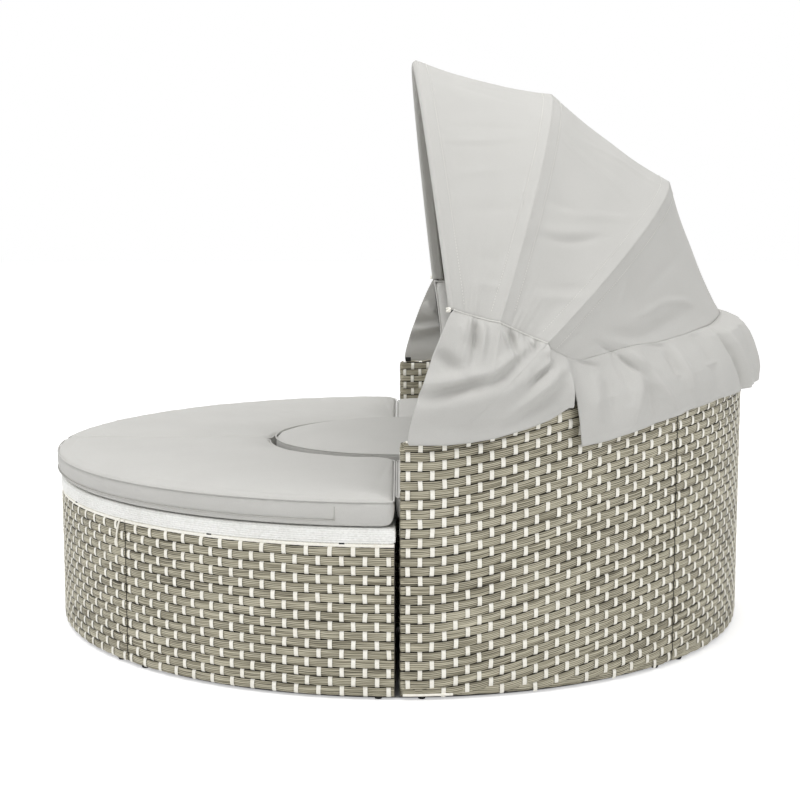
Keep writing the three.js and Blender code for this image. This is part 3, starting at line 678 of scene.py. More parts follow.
class Workshop:
    """The trees, the palette and the ways in which plain meshes are made."""

    def __init__(self) -> None:
        """Builds every tree and material once."""
        self.palette = Palette()
        self.ribbon = ribbon_tree()
        self.tube = tube_tree()
        self.stitch = stitch_tree()
        self.glide = glide_tree()

    @staticmethod
    def lines(name: str, runs: Sequence[Array], values: dict[str, Sequence[Array]] | None = None,
              closed: bool = False) -> bpy.types.Mesh:
        """Makes a mesh of open or closed lines.

        Args:
            name: Name of the mesh.
            runs: The points of each line.
            values: Numbers per point of each line, by attribute name.
            closed: Whether each line closes on itself.

        Returns:
            The mesh.
        """
        mesh = bpy.data.meshes.new(name)
        edges, start = [], 0
        for run in runs:
            count = len(run)
            edges += [(start + i, start + i + 1) for i in range(count - 1)]
            if closed:
                edges.append((start + count - 1, start))
            start += count
        mesh.from_pydata(np.concatenate(runs).tolist(), edges, [])
        for key, numbers in (values or {}).items():
            store = mesh.attributes.new(key, "FLOAT", "POINT")
            store.data.foreach_set("value", np.concatenate(numbers).astype(np.float32))
        return mesh

    @staticmethod
    def points(name: str, spots: Array, out: Array | None = None, up: Array | None = None
               ) -> bpy.types.Mesh:
        """Makes a mesh of loose points with the ways they face.

        Args:
            name: Name of the mesh.
            spots: The points.
            out: Outward direction at each point.
            up: Direction in which a strip lies at each point.

        Returns:
            The mesh.
        """
        mesh = bpy.data.meshes.new(name)
        mesh.from_pydata(np.asarray(spots).tolist(), [], [])
        for key, vectors in (("face_out", out), ("face_up", up)):
            if vectors is not None:
                store = mesh.attributes.new(key, "FLOAT_VECTOR", "POINT")
                store.data.foreach_set("vector", np.asarray(vectors, np.float32).ravel())
        return mesh

    def round_tube(self, name: str, line: Array, radius: float, sides: int, material: Finish,
                   closed: bool = False) -> Thing:
        """Sweeps a round tube along one line.

        Args:
            name: Name of the object.
            line: The line's points.
            radius: Radius of the tube.
            sides: How many sides it has.
            material: The finish.
            closed: Whether the line closes on itself.

        Returns:
            The tube.
        """
        mesh = self.lines(name + "_line", [line], closed=closed)
        return self.tube.grow(name, mesh, Radius=radius, Sides=sides, Material=material)

    def solid(self, name: str, vertices: Array, faces: list, material: Finish,
              smooth: bool = True) -> Thing:
        """Makes an object of a closed mesh with its faces turned outwards.

        Args:
            name: Name of the object.
            vertices: The mesh's points.
            faces: Lists of point numbers.
            material: The finish.
            smooth: Whether it is shaded smooth.

        Returns:
            The object.
        """
        mesh = bpy.data.meshes.new(name)
        mesh.from_pydata(np.asarray(vertices).tolist(), [], faces)
        work = bmesh.new()
        work.from_mesh(mesh)
        bmesh.ops.remove_doubles(work, verts=work.verts, dist=1e-6)
        bmesh.ops.recalc_face_normals(work, faces=work.faces)
        work.to_mesh(mesh)
        work.free()
        surfaced(mesh, material, smooth)
        return placed(name, mesh)

    @staticmethod
    def join(name: str, parts: Sequence[Thing]) -> Thing:
        """Joins objects into one, and keeps their materials.

        Args:
            name: Name of the result.
            parts: The objects.

        Returns:
            The joined object.
        """
        bpy.ops.object.select_all(action="DESELECT")
        for part in parts:
            part.select_set(True)
        bpy.context.view_layer.objects.active = parts[0]
        bpy.ops.object.join()
        parts[0].name = name
        parts[0].data.name = name
        return parts[0]

    @staticmethod
    def mirrored(name: str, piece: Thing) -> Thing:
        """Copies an object to the other side of the plane X = 0.

        Args:
            name: Name of the copy.
            piece: The object.

        Returns:
            The copy.
        """
        mesh = piece.data.copy()
        mesh.transform(Matrix.Scale(-1, 4, Vector((1, 0, 0))))
        mesh.flip_normals()
        mesh.name = name
        return placed(name, mesh)


def turned(yaw: float, place: Sequence[float] = (0, 0, 0)) -> Matrix:
    """Gives the transform that turns about Z by an angle in degrees and then moves."""
    return Matrix.Translation(Vector(place)) @ Matrix.Rotation(math.radians(yaw), 4, "Z")


def settle(piece: Thing, body: Body, slot: Slot, *nodes: str) -> None:
    """Lets a piece ride on a body and stand for nodes.

    Args:
        piece: The object.
        body: Body that it moves with.
        slot: Material slot of the record; not used.
        *nodes: Nodes that it stands for.
    """
    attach(piece, body.value)
    if nodes:
        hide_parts(*nodes)
    LOG.info("%s rides on %s", piece.name, body.value)


# Woven faces


def fillet(corners: Sequence[tuple[float, float]], radii: Sequence[float], steps: int = 5) -> Array:
    """Rounds the inner corners of an open line in a plane.

    Args:
        corners: The line's corners.
        radii: A radius for each corner but the first and the last.
        steps: Steps of each rounding.

    Returns:
        The points of the rounded line.
    """
    points = [np.array(corners[0])]
    for i, radius in enumerate(radii, start=1):
        here, before, after = (np.array(corners[k]) for k in (i, i - 1, i + 1))
        start = here + (before - here) / np.linalg.norm(before - here) * radius
        end = here + (after - here) / np.linalg.norm(after - here) * radius
        for t in np.linspace(0, 1, steps + 1):
            points.append((1 - t) ** 2 * start + 2 * t * (1 - t) * here + t * t * end)
    points.append(np.array(corners[-1]))
    return np.array(points)


class Section:
    """A line up, over and down a panel, as [distance from the axis, height] by its own length."""

    def __init__(self, line: Array) -> None:
        """Measures the line.

        Args:
            line: The line's points.
        """
        self.line = line
        self.run = lengths(line)
        self.length = float(self.run[-1])

    def spot(self, v: float) -> Array:
        """Gives the point at a length along the line."""
        return np.array([np.interp(v, self.run, self.line[:, k]) for k in (0, 1)])

    def at(self, v: float) -> tuple[Array, Array]:
        """Gives the point at a length along the line and the direction of the line there.

        Args:
            v: The length.

        Returns:
            The point and the direction.
        """
        reach = 0.0015
        way = self.spot(min(v + reach, self.length)) - self.spot(max(v - reach, 0))
        return self.spot(v), way / np.linalg.norm(way)


@dataclass(frozen=True)
class WeaveSizes:
    """Sizes of the weave, and how far chance moves and turns it."""

    course: float = 0.0208
    column: float = 0.0262
    ribbon: float = 0.0192
    ridges: int = 5
    relief: float = 0.0010
    crown: float = 0.0009
    swing: float = 0.0015
    wobble: float = 0.0005
    strand: float = 0.0096
    strand_share: float = 1.06
    strand_rise: float = 0.0025
    strand_dive: float = 0.0030
    strand_slip: float = 0.0004
    strand_turn: float = 0.03
    seam_clear: float = 0.0016
    steps: int = 3


@dataclass
class WovenFace:
    """A face covered with ribbons in courses, over and under upright strands."""

    name: str
    section: Section
    start: float
    end: float
    radius: float | None = None
    line_y: float = 0.0
    sizes: WeaveSizes = field(default_factory=WeaveSizes)
    drop: Profile | None = None
    rise: Profile | None = None
    inside_from: float = BED.deck_top
    wrap_end: bool = False
    lead: float | None = None
    seed: int = 1

    def place(self, u: Array, v: float) -> tuple[Array, Array, Array]:
        """Gives points, outward directions and upward directions of the face.

        Args:
            u: Places along the course, in metres.
            v: Place up the section, in metres.

        Returns:
            Three arrays with a row per place.
        """
        (reach, height), (way_r, way_z) = self.section.at(v)
        ones = np.ones_like(u)
        if self.radius:
            angle = self.start + u / self.radius
            point = around(reach, angle, height * ones)
            out = around(way_z, angle, -way_r * ones)
            up = around(way_r, angle, way_z * ones)
        else:
            side = 1 if self.end < self.start else -1
            x = self.start + np.sign(self.end - self.start) * u
            y = self.line_y + side * reach
            point = np.stack([x, y * ones, height * ones], 1)
            out = np.stack([0 * ones, side * way_z * ones, -way_r * ones], 1)
            up = np.stack([0 * ones, side * way_r * ones, way_z * ones], 1)
        if self.drop:
            point[:, 2] -= self.drop(u) * corner_share(point[:, 2])
        if self.rise:
            point[:, 2] += self.rise(self.start * self.radius + u)
        return point, out, up

    def shown(self, point: Array, facing: Array) -> Array:
        """Tells which points of a course lie above the foot or, inside, above the seat."""
        low = np.where(facing > 0, BED.foot - self.sizes.course * 0.35, self.inside_from)
        return (point[:, 2] > low) | (not self.rise)

    def seated(self, point: Array, out: Array, facing: Array) -> Array:
        """Tucks the courses that the foot cuts off in behind the course above.

        Args:
            point: Points of a course.
            out: Outward directions.
            facing: 1 where the course is outside, -1 inside.

        Returns:
            The moved points.
        """
        if not self.rise:
            return point
        tuck, depth = 0.006, 0.0016
        low = BED.foot + self.sizes.ribbon / 2 + 0.0002
        under = np.clip((low - point[:, 2]) / tuck, 0, 1) * (facing > 0)
        point = point - out * (under * depth)[:, None]
        point[:, 2] = np.where(facing > 0, np.maximum(point[:, 2], low), point[:, 2])
        return point

    def weave(self, shop: Workshop) -> list[Thing]:
        """Weaves the face.

        Args:
            shop: The workshop.

        Returns:
            The ribbons and the strands.
        """
        s = self.sizes
        chance = np.random.default_rng(self.seed)
        rows = max(1, round(self.section.length / s.course))
        pitch = s.course if self.rise else self.section.length / rows
        rows = int(self.section.length / pitch + 1e-6)
        length = abs(self.end - self.start) * (self.radius or 1.0)
        columns = max(1, round(length / s.column))
        step = (length - self.lead) / (columns - 0.5) if self.lead else length / columns
        u = np.linspace(s.seam_clear, length - s.seam_clear, columns * s.steps + 1)
        first = self.lead or step / 2
        middles = first + np.arange(columns) * step
        courses, strands = [], []
        for i in range(rows):
            v = (i + 0.5) * pitch
            point, out, up = self.place(u, v)
            inward = point[:, 0] * out[:, 0] + point[:, 1] * out[:, 1] < 0
            facing = np.where(inward & bool(self.radius), -1, 1)
            tilt = -np.arctan2(out[:, 2], np.hypot(out[:, 0], out[:, 1]) * facing)
            swing = -s.swing * np.cos(math.pi * (u - first) / step) * (-1) ** i
            wobble = np.sin(u * 31 + chance.random() * 9) * s.wobble
            point = point + out * swing[:, None] + up * wobble[:, None]
            keep = self.shown(point, facing)
            if keep.sum() < 2:
                continue
            point = self.seated(point, out, facing)[keep]
            tilt, travel = tilt[keep], (u + 3.7 * i)[keep]
            if self.wrap_end and out[0, 2] < 0.3 and facing[0] > 0:
                point, tilt, travel = self.wrapped(point, tilt, travel)
                if i % 2 == 0:
                    end = [[BED.radius - BED.wall / 2, 0.0008, point[0, 2]]]
                    strands.append((end, [[0, -1, 0]], [[0, 0, 1]]))
            courses.append((point, tilt, np.full(len(point), chance.random()), travel))
            over = middles[(np.arange(columns) + i) % 2 == 0]
            shift = over + chance.normal(0, s.strand_slip, len(over))
            spot, out, up = self.place(shift, v)
            up = up + np.cross(out, up) * chance.normal(0, s.strand_turn, (len(over), 1))
            low = BED.foot + 0.006 if facing[0] > 0 else self.inside_from
            high = (spot[:, 2] > low) | (not self.rise)
            strands.append((spot[high], out[high], up[high]))
        runs, *numbers = zip(*courses)
        values = dict(zip(("tilt", "tone", "travel"), numbers))
        mesh = shop.lines(self.name + "_courses", runs, values)
        ribbons = shop.ribbon.grow(
            self.name + "_ribbons", mesh, Width=min(s.ribbon, pitch * 0.985), Ridges=s.ridges,
            Relief=s.relief, Crown=s.crown, Material=shop.palette.ribbon,
        )
        mesh = shop.points(self.name + "_spots", *map(np.concatenate, zip(*strands)))
        laid = shop.stitch.grow(
            self.name + "_strands", mesh, Width=s.strand, Length=pitch * s.strand_share,
            Rise=s.strand_rise, Dive=s.strand_dive, Material=shop.palette.strand,
        )
        return [ribbons, laid]

    def wrapped(self, point: Array, tilt: Array, travel: Array) -> tuple[Array, Array, Array]:
        """Carries a course round the panel's front end, and a little along its inner side.

        Args:
            point: The course's points.
            tilt: Its tilt at each point.
            travel: Its length at each point.

        Returns:
            The three arrays with the wrap before them.
        """
        outer, inner = BED.radius - BED.inset, BED.radius - BED.wall + BED.inset
        height = point[0, 2]
        deep = 0.012 if height > BED.deck_top else 0.001
        end = 0.0014
        plan = fillet([(inner, deep), (inner, end), (outer, end), (outer, 0.006)],
                      [min(0.004, deep * 0.5), 0.004], 4)
        extra = np.column_stack([plan, np.full(len(plan), height)])
        keep = point[:, 1] > 0.008
        steps = np.linspace(-0.05, -0.001, len(extra))
        return (
            np.concatenate([extra, point[keep]]),
            np.concatenate([np.full(len(extra), tilt[0]), tilt[keep]]),
            np.concatenate([travel[0] + steps, travel[keep]]),
        )


def corner_share(height: Array) -> Array:
    """Gives how much of the arm's corner drop a height of the wall takes, from 0 to 1."""
    return np.clip((height - (BED.wall_top - BED.arm_corner)) / BED.arm_corner, 0, 1)


def loft_rings(rings: Sequence[Array]) -> tuple[Array, list]:
    """Joins rings that match point by point into a closed mesh.

    Args:
        rings: The rings, from one end to the other.

    Returns:
        Points and faces.
    """
    count = len(rings[0])
    faces = []
    for i in range(len(rings) - 1):
        for j in range(count):
            a, b = i * count + j, i * count + (j + 1) % count
            faces.append((a, b, b + count, a + count))
    last = (len(rings) - 1) * count
    faces += [tuple(range(count)), tuple(last + j for j in range(count))]
    return np.concatenate(rings), faces


def ring_solid(shop: Workshop, name: str, outline: Sequence[tuple[float, float]], angles: Array,
               drop: Profile | None = None, rise: Profile | None = None) -> Thing:
    """Carries a closed outline round the Z axis, as the dark backing of a weave, whose near-black
    colour is painted shade seen between the ribbons.

    Args:
        shop: The workshop.
        name: Name of the object.
        outline: Points as [distance from the axis, height].
        angles: Where the outline stands.
        drop: How far the top comes down, by the length round the bed.
        rise: How far the top goes up, by the length round the bed.

    Returns:
        The solid.
    """
    reach, height = np.array(outline).T
    rings = []
    for angle in angles:
        along = np.array([angle * BED.radius])
        low = drop(along) * corner_share(height) if drop else 0
        high = rise(along) * (height > BED.base_top) if rise else 0
        rings.append(around(reach, angle, height + (high - low)))
    return shop.solid(name, *loft_rings(rings), shop.palette.core, smooth=False)


def board(shop: Workshop, name: str, low: Sequence[float], high: Sequence[float],
          material: Finish, round_off: float = 0.001) -> Thing:
    """Makes a block with rounded edges between two corners.

    Args:
        shop: The workshop; not used.
        name: Name of the object.
        low: One corner.
        high: The opposite corner.
        material: The finish.
        round_off: Width of the rounding.

    Returns:
        The block.
    """
    work = bmesh.new()
    bmesh.ops.create_cube(work, size=1)
    bmesh.ops.scale(work, vec=Vector(np.subtract(high, low)), verts=work.verts)
    bmesh.ops.translate(work, vec=Vector(np.add(low, high) / 2), verts=work.verts)
    bmesh.ops.bevel(
        work, geom=work.edges, offset=round_off, segments=3, profile=0.6, affect="EDGES"
    )
    mesh = bpy.data.meshes.new(name)
    work.to_mesh(mesh)
    work.free()
    surfaced(mesh, material)
    return placed(name, mesh)


@dataclass
class Wall:
    """The sofa's high woven wall: four panels over half the circle."""

    shop: Workshop
    top_round: float = 0.0105
    backing_steps: int = 40
    course_edge: float = 0.5438
    first_column: float = 0.0168
    foot_strand: float = 0.003

    @staticmethod
    def corner_drop(u: Array) -> Array:
        """Gives how far the top edge comes down towards the arm's front end."""
        left = np.clip(BED.arm_corner - u, 0, BED.arm_corner)
        return BED.arm_corner - np.sqrt(BED.arm_corner**2 - left**2)

    def section(self) -> Section:
        """Gives the line up the outside, over the top and down to the seat.

        Returns:
            The line.
        """
        outer, inner = BED.radius - BED.inset, BED.radius - BED.wall + BED.inset
        top = BED.wall_top - 0.0012
        course = WeaveSizes().course
        hidden = math.ceil((self.course_edge - BED.foot + BED.wall_rise) / course) + 1
        below = BED.foot - self.course_edge + hidden * course
        corners = [
            (outer, BED.foot - below), (outer, top), (inner, top), (inner, BED.deck_top - below)
        ]
        return Section(fillet(corners, [self.top_round] * 2, 6))

    def panel(self, number: int, start: float, end: float, front: bool) -> Thing:
        """Weaves one panel over its dark backing, whose colour is painted shade behind the ribbons.

        Args:
            number: Number of the panel.
            start: Angle at which it starts.
            end: Angle at which it ends.
            front: Whether it is the arm's front panel.

        Returns:
            The panel.
        """
        drop = self.corner_drop if front else None
        face = WovenFace(
            f"wall_weave_{number}", self.section(), start, end, BED.radius,
            drop=drop, rise=BED.rise, wrap_end=front, seed=10 + number,
            lead=self.first_column if front else None,
        )
        parts = face.weave(self.shop)
        outer, inner = BED.radius - BED.backing, BED.radius - BED.wall + BED.backing
        low, top = BED.foot + 0.001, BED.wall_top - BED.backing
        outline = [
            (outer, low), (outer, top - 0.008), (outer - 0.005, top),
            (inner + 0.005, top), (inner, top - 0.008), (inner, low),
        ]
        first = start + (0.0045 if front else BED.joint) / BED.radius
        angles = np.linspace(first, end - BED.joint / BED.radius, self.backing_steps)
        parts.append(
            ring_solid(self.shop, face.name + "_backing", outline, angles, drop, BED.rise)
        )
        return self.shop.join(face.name, parts)

    def build(self) -> None:
        """Makes the four panels."""
        joint = BED.joint / BED.radius
        arm = self.panel(1, 0.0, math.pi / 4 - joint, True)
        back = self.panel(2, math.pi / 4 + joint, QUARTER - joint, False)
        far_back = self.shop.mirrored("wall_weave_3", back)
        far_arm = self.shop.mirrored("wall_weave_4", arm)
        for number, piece in enumerate((arm, back, far_back, far_arm), start=1):
            settle(piece, Body.SOFA, Slot.WICKER, f"wall_panel_{number}")
        along = np.linspace(0.006, 0.115, 30) / BED.radius
        run = around(BED.radius + 0.0004, along, BED.foot + 0.0035 + 0.004 * along)
        strand = self.shop.round_tube("foot_strand_right", run, self.foot_strand, 8,
                                      self.shop.palette.strand)
        settle(strand, Body.SOFA, Slot.RIM)
        settle(self.shop.mirrored("foot_strand_left", strand), Body.SOFA, Slot.RIM)


@dataclass
class OttomanSide:
    """The ottoman's woven side with its pale bead and the strand that hangs from it."""

    shop: Workshop
    bead_steps: int = 90
    backing_steps: int = 12
    loose_turn: float = -46.2
    loose_radius: float = 0.0024

    def panel(self, number: int, start: float, end: float) -> Thing:
        """Weaves one panel, with its bead.

        Args:
            number: Number of the panel.
            start: Angle at which it starts.
            end: Angle at which it ends.

        Returns:
            The panel.
        """
        outer = BED.radius - BED.inset
        section = Section(np.array([(outer, BED.foot), (outer, BED.base_top - 0.0085)]))
        face = WovenFace(
            f"ottoman_weave_{number}", section, start, end, BED.radius, seed=30 + number
        )
        parts = face.weave(self.shop)
        outer, inner, low = BED.radius - BED.backing, BED.radius - BED.wall, BED.foot + 0.001
        outline = [
            (outer, low), (outer, BED.base_top - 0.002),
            (inner, BED.base_top - 0.0003), (inner, low),
        ]
        edge = BED.joint / BED.radius
        angles = np.linspace(start + edge, end - edge, self.backing_steps)
        # The dark backing is painted shade behind the ottoman's weave.
        parts.append(ring_solid(self.shop, face.name + "_backing", outline, angles))
        gap = 0.0012 / BED.radius
        angles = np.linspace(start + gap, end - gap, self.bead_steps)
        wave = 0.0003 * np.sin(angles * 400)
        run = around(BED.radius - BED.bead + 0.0006, angles, BED.bead_height + wave)
        parts.append(self.shop.round_tube(face.name + "_bead", run, BED.bead, 10,
                                          self.shop.palette.strand))
        return self.shop.join(face.name, parts)

    def build(self) -> None:
        """Makes the four panels and the loose strand end at the right seam."""
        split = math.asin(BED.split / BED.radius)
        joint = BED.joint / BED.radius
        side = self.panel(1, joint - math.pi / 4, -split)
        front = self.panel(2, joint - QUARTER, -math.pi / 4 - joint)
        far_front = self.shop.mirrored("ottoman_weave_3", front)
        far_side = self.shop.mirrored("ottoman_weave_4", side)
        for number, piece in enumerate((side, front, far_front, far_side), start=1):
            settle(piece, Body.OTTOMAN, Slot.WICKER, f"ottoman_panel_{number}")
        self.loose_strand()

    def loose_strand(self) -> None:
        """Bends a strand end out over the weave beside the right seam."""
        offset, height, proud = np.array([
            (0.0, 0.345, 0.0), (0.3, 0.333, 0.0028), (0.9, 0.318, 0.004), (1.6, 0.303, 0.003),
            (1.9, 0.290, 0.0016), (1.8, 0.276, 0.0008),
        ]).T
        bends = around(BED.radius + proud, np.radians(self.loose_turn - offset * 0.45), height)
        t = np.linspace(0, len(bends) - 1, 26)
        run = np.stack([np.interp(t, range(len(bends)), bends[:, k]) for k in range(3)], 1)
        piece = self.shop.round_tube("loose_strand", run, self.loose_radius, 8,
                                     self.shop.palette.strand)
        settle(piece, Body.OTTOMAN, Slot.RIM)


@dataclass
class InnerPanels:
    """Straight aprons along the split and the half-round panels of the well."""

    shop: Workshop

    def apron(self, half: str, body: Body, facing: int, face_y: float) -> None:
        """Weaves the two aprons of one half.

        Args:
            half: Name of the half.
            body: Its body.
            facing: 1 where the face looks towards +Y.
            face_y: Where the face lies.
        """
        inner, outer = BED.well + BED.inner_panel + BED.joint, BED.deck_rim
        low, top = BED.foot, BED.base_top - 0.0005
        back = face_y - facing * BED.inner_panel
        section = Section(np.array([(-BED.inset, low), (-BED.inset, top)]))
        start, end = (outer, inner) if facing > 0 else (inner, outer)
        face = WovenFace(f"{half}_apron_weave", section, start, end, None, line_y=face_y, seed=50)
        near, far = sorted((back + facing * 0.0005, face_y - facing * BED.backing))
        # The dark block behind the apron's weave is painted shade.
        core = board(self.shop, "backing", (inner, near, low + 0.001), (outer, far, top - 0.001),
                     self.shop.palette.core)
        right = self.shop.join(f"{half}_apron_weave_right", [*face.weave(self.shop), core])
        left = self.shop.mirrored(f"{half}_apron_weave_left", right)
        settle(right, body, Slot.WICKER, f"{half}_apron_right")
        settle(left, body, Slot.WICKER, f"{half}_apron_left")

    def build(self) -> None:
        """Makes the aprons, and dresses the panels of the well."""
        self.apron("sofa", Body.SOFA, -1, BED.joint)
        self.apron("ottoman", Body.OTTOMAN, 1, -BED.split)
        for half in ("sofa", "ottoman"):
            dress(f"{half}_well_panel", self.shop.palette.board)


@dataclass
class Rims:
    """White strands woven round the edges of the seat decks, with black clips below."""

    shop: Workshop
    pitch: float = 0.0052
    column: float = 0.0115
    proud: float = 0.0004
    end_gap: float = 0.004
    swing: float = 0.0006
    clip_turns: tuple[float, ...] = (-79.0, -62.0, -28.0, -8.0, -101.0, -118.0, -152.0)

    def outline(self, outer: float, edge: float) -> tuple[Array, Array]:
        """Gives the plan of a half ring's edge, with its outward directions.

        Args:
            outer: Radius of the edge.
            edge: Where the straight side lies.

        Returns:
            The points and the directions.
        """
        start = math.asin((edge + self.end_gap) / outer)
        inner = BED.well + 0.0005
        angles = np.arange(start, math.pi - start, self.column / 2 / outer)
        arc = np.stack([outer * np.cos(angles), outer * np.sin(angles)], 1)
        out = np.stack([np.cos(angles), np.sin(angles)], 1)
        reach = math.sqrt(outer**2 - (edge + self.end_gap) ** 2) - 0.006
        xs = np.arange(-reach, -inner, self.column / 2)
        left = np.stack([xs, np.full(len(xs), edge)], 1)
        down = np.tile([0.0, -1.0], (len(xs), 1))
        right = np.stack([-xs[::-1], np.full(len(xs), edge)], 1)
        return np.concatenate([right, arc, left]), np.concatenate([down, out, down])

    def build_rim(self, name: str, body: Body, outer: float, edge: float, flip: int) -> None:
        """Weaves one rim in courses up its rounded face.

        Args:
            name: Name of the object.
            body: Its body.
            outer: Radius of the edge.
            edge: Where the straight side lies.
            flip: 1 for the sofa's half, -1 for the ottoman's.
        """
        plan, out = self.outline(outer, edge)
        thick = BED.deck_top - BED.deck_low
        profile = fillet([(-0.012, 0.0), (0, 0.0), (0, thick), (-0.02, thick)], [0.006, 0.006], 6)
        section = Section(profile + np.array([self.proud, BED.deck_low]))
        rows = round(section.length / self.pitch)
        courses = []
        place = np.arange(len(plan))
        for i in range(rows):
            (depth, height), (way_r, way_z) = section.at((i + 0.5) * section.length / rows)
            wave = self.swing * np.cos(place * math.pi + math.pi * i)
            shift = np.minimum(depth, 0.001) + wave * abs(way_z)
            flat = (plan + out * shift[:, None]) * flip
            courses.append((
                np.column_stack([flat, height + wave * abs(way_r)]),
                np.full(len(plan), -math.atan2(-way_r, way_z)),
                np.full(len(plan), i / rows), place * self.column / 2,
            ))
        runs, *numbers = zip(*courses)
        values = dict(zip(("tilt", "tone", "travel"), numbers))
        mesh = self.shop.lines(name + "_courses", runs, values)
        piece = self.shop.ribbon.grow(
            name, mesh, Width=self.pitch * 1.02, Ridges=2, Relief=0.0, Crown=0.0011,
            Material=self.shop.palette.rim,
        )
        settle(piece, body, Slot.RIM)

    def build(self) -> None:
        """Weaves the ottoman's and the sofa's rims, and dresses the decks."""
        self.build_rim("ottoman_rim_weave", Body.OTTOMAN, BED.radius, BED.split, -1)
        self.build_rim("sofa_rim_weave", Body.SOFA, BED.deck_rim, BED.joint, 1)
        for node in ("sofa_deck", "ottoman_deck", "stool_deck"):
            dress(node, self.shop.palette.rim)
        self.clips()

    def clips(self) -> None:
        """Sets small black clips under the ottoman's rim."""
        parts = []
        for angle in self.clip_turns:
            clip = board(self.shop, "clip", (BED.radius - 0.012, -0.006, 0.3425),
                         (BED.radius - 0.0002, 0.006, 0.3468), self.shop.palette.rubber)
            clip.data.transform(turned(angle))
            parts.append(clip)
        settle(self.shop.join("rim_clips", parts), Body.OTTOMAN, Slot.GLIDE)


def dress(node: str, material: Finish) -> None:
    """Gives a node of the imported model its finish.

    Args:
        node: Name of the node.
        material: The finish.
    """
    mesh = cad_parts[node].data
    mesh.materials.clear()
    mesh.materials.append(material)
    LOG.info("%s keeps its shape", node)


@dataclass
class Stool:
    """The round stool in the well: a woven drum under a pale deck."""

    shop: Workshop
    drum: float = 0.318
    wall: float = 0.022
    sunk: float = 0.0026

    def build(self) -> None:
        """Weaves the drum."""
        outer = self.drum - 0.0008
        section = Section(np.array([(outer, BED.foot), (outer, BED.base_top - 0.009)]))
        face = WovenFace("stool_weave", section, 0.0, 2 * math.pi, self.drum, seed=70,
                         sizes=WeaveSizes(seam_clear=0.0))
        parts = face.weave(self.shop)
        low, top = BED.foot + 0.001, BED.base_top - 0.001
        outer, inner = outer - self.sunk, self.drum - self.wall
        outline = [(outer, low), (outer, top), (inner, top), (inner, low)]
        angles = np.linspace(0, 2 * math.pi, 73)
        # The dark backing is painted shade behind the drum's weave.
        parts.append(ring_solid(self.shop, "stool_backing", outline, angles))
        angles = np.linspace(0, 2 * math.pi, 160)[:-1]
        run = around(self.drum - self.sunk, angles, BED.bead_height)
        parts.append(self.shop.round_tube("stool_bead", run, BED.bead, 10,
                                          self.shop.palette.strand, closed=True))
        settle(self.shop.join("stool_weave", parts), Body.STOOL, Slot.WICKER, "stool_drum")


@dataclass
class Glides:
    """Black glides under every panel's ends and under the stool."""

    shop: Workshop
    radius: float = 0.0095
    setback: float = 0.048
    stool_ring: float = 0.307

    def build(self) -> None:
        """Sets the glides of the three free-standing bodies."""
        ring = BED.radius - BED.wall / 2
        back = self.setback / BED.radius
        quarter = [back, math.pi / 4 - back, math.pi / 4 + back, QUARTER - back]
        half = quarter + [math.pi - a for a in quarter]
        third = [QUARTER + i * 2 * math.pi / 3 for i in range(3)]
        for body, r, angles in (
            (Body.SOFA, ring, half), (Body.OTTOMAN, ring, [-a for a in half]),
            (Body.STOOL, self.stool_ring, third),
        ):
            name = body.value
            mesh = self.shop.points(name + "_glide_spots", around(r, np.array(angles), 0.0))
            piece = self.shop.glide.grow(
                name + "_glides", mesh, Radius=self.radius, Height=BED.foot + 0.001,
                Material=self.shop.palette.rubber,
            )
            nodes = (f"{name}_foot_{i + 1}" for i in range(len(angles)))
            settle(piece, body, Slot.GLIDE, *nodes)


# Cushions and pillows


def inflate(piece: Thing, pinned: Array, pressure: float, cap: float) -> None:
    """Blows a closed cloth up a little, held at its seams, and keeps the result.

    Args:
        piece: The object.
        pinned: How firmly each point is held, from 0 to 1.
        pressure: Pressure inside.
        cap: Farthest that a point may move, in metres.
    """
    scene = bpy.context.scene
    group = piece.vertex_groups.new(name="held")
    firm = np.round(pinned, 1)
    for level in np.unique(firm[firm > 0]):
        group.add(np.flatnonzero(firm == level).tolist(), float(level), "REPLACE")
    modifier = piece.modifiers.new("cloth", "CLOTH")
    settings = modifier.settings
    settings.quality = 4
    settings.mass = 0.3
    settings.tension_stiffness = settings.compression_stiffness = 12
    settings.bending_stiffness = 0.4
    settings.use_pressure = True
    settings.uniform_pressure_force = pressure
    settings.effector_weights.gravity = 0
    settings.vertex_group_mass = "held"
    modifier.collision_settings.use_collision = False
    rest = spots_of(piece)
    for number in range(1, 21):
        scene.frame_set(number)
    blown = piece.evaluated_get(bpy.context.evaluated_depsgraph_get())
    moved = np.array([v.co for v in blown.to_mesh().vertices]) - rest
    blown.to_mesh_clear()
    length = np.linalg.norm(moved, axis=1)
    keep = cap * np.tanh(length / cap) / np.maximum(length, 1e-9)
    piece.modifiers.remove(modifier)
    piece.vertex_groups.clear()
    scene.frame_set(1)
    move_spots(piece, rest + moved * keep[:, None])


def spots_of(piece: Thing) -> Array:
    """Gives the points of a piece's mesh."""
    return np.array([v.co for v in piece.data.vertices])


def move_spots(piece: Thing, points: Array) -> None:
    """Moves the points of a piece's mesh."""
    piece.data.vertices.foreach_set("co", points.ravel())
    piece.data.update()


def reshaped(piece: Thing, kind: str, **settings: object) -> None:
    """Runs one modifier on a piece and keeps the smooth mesh that it gives.

    Args:
        piece: The object.
        kind: Type of the modifier.
        **settings: Properties of the modifier.
    """
    modifier = piece.modifiers.new("shape", kind)
    for key, value in settings.items():
        setattr(modifier, key, value)
    graph = bpy.context.evaluated_depsgraph_get()
    made = bpy.data.meshes.new_from_object(piece.evaluated_get(graph), depsgraph=graph)
    piece.modifiers.clear()
    made.name = piece.name
    piece.data = made
    made.polygons.foreach_set("use_smooth", [True] * len(made.polygons))
    made.update()


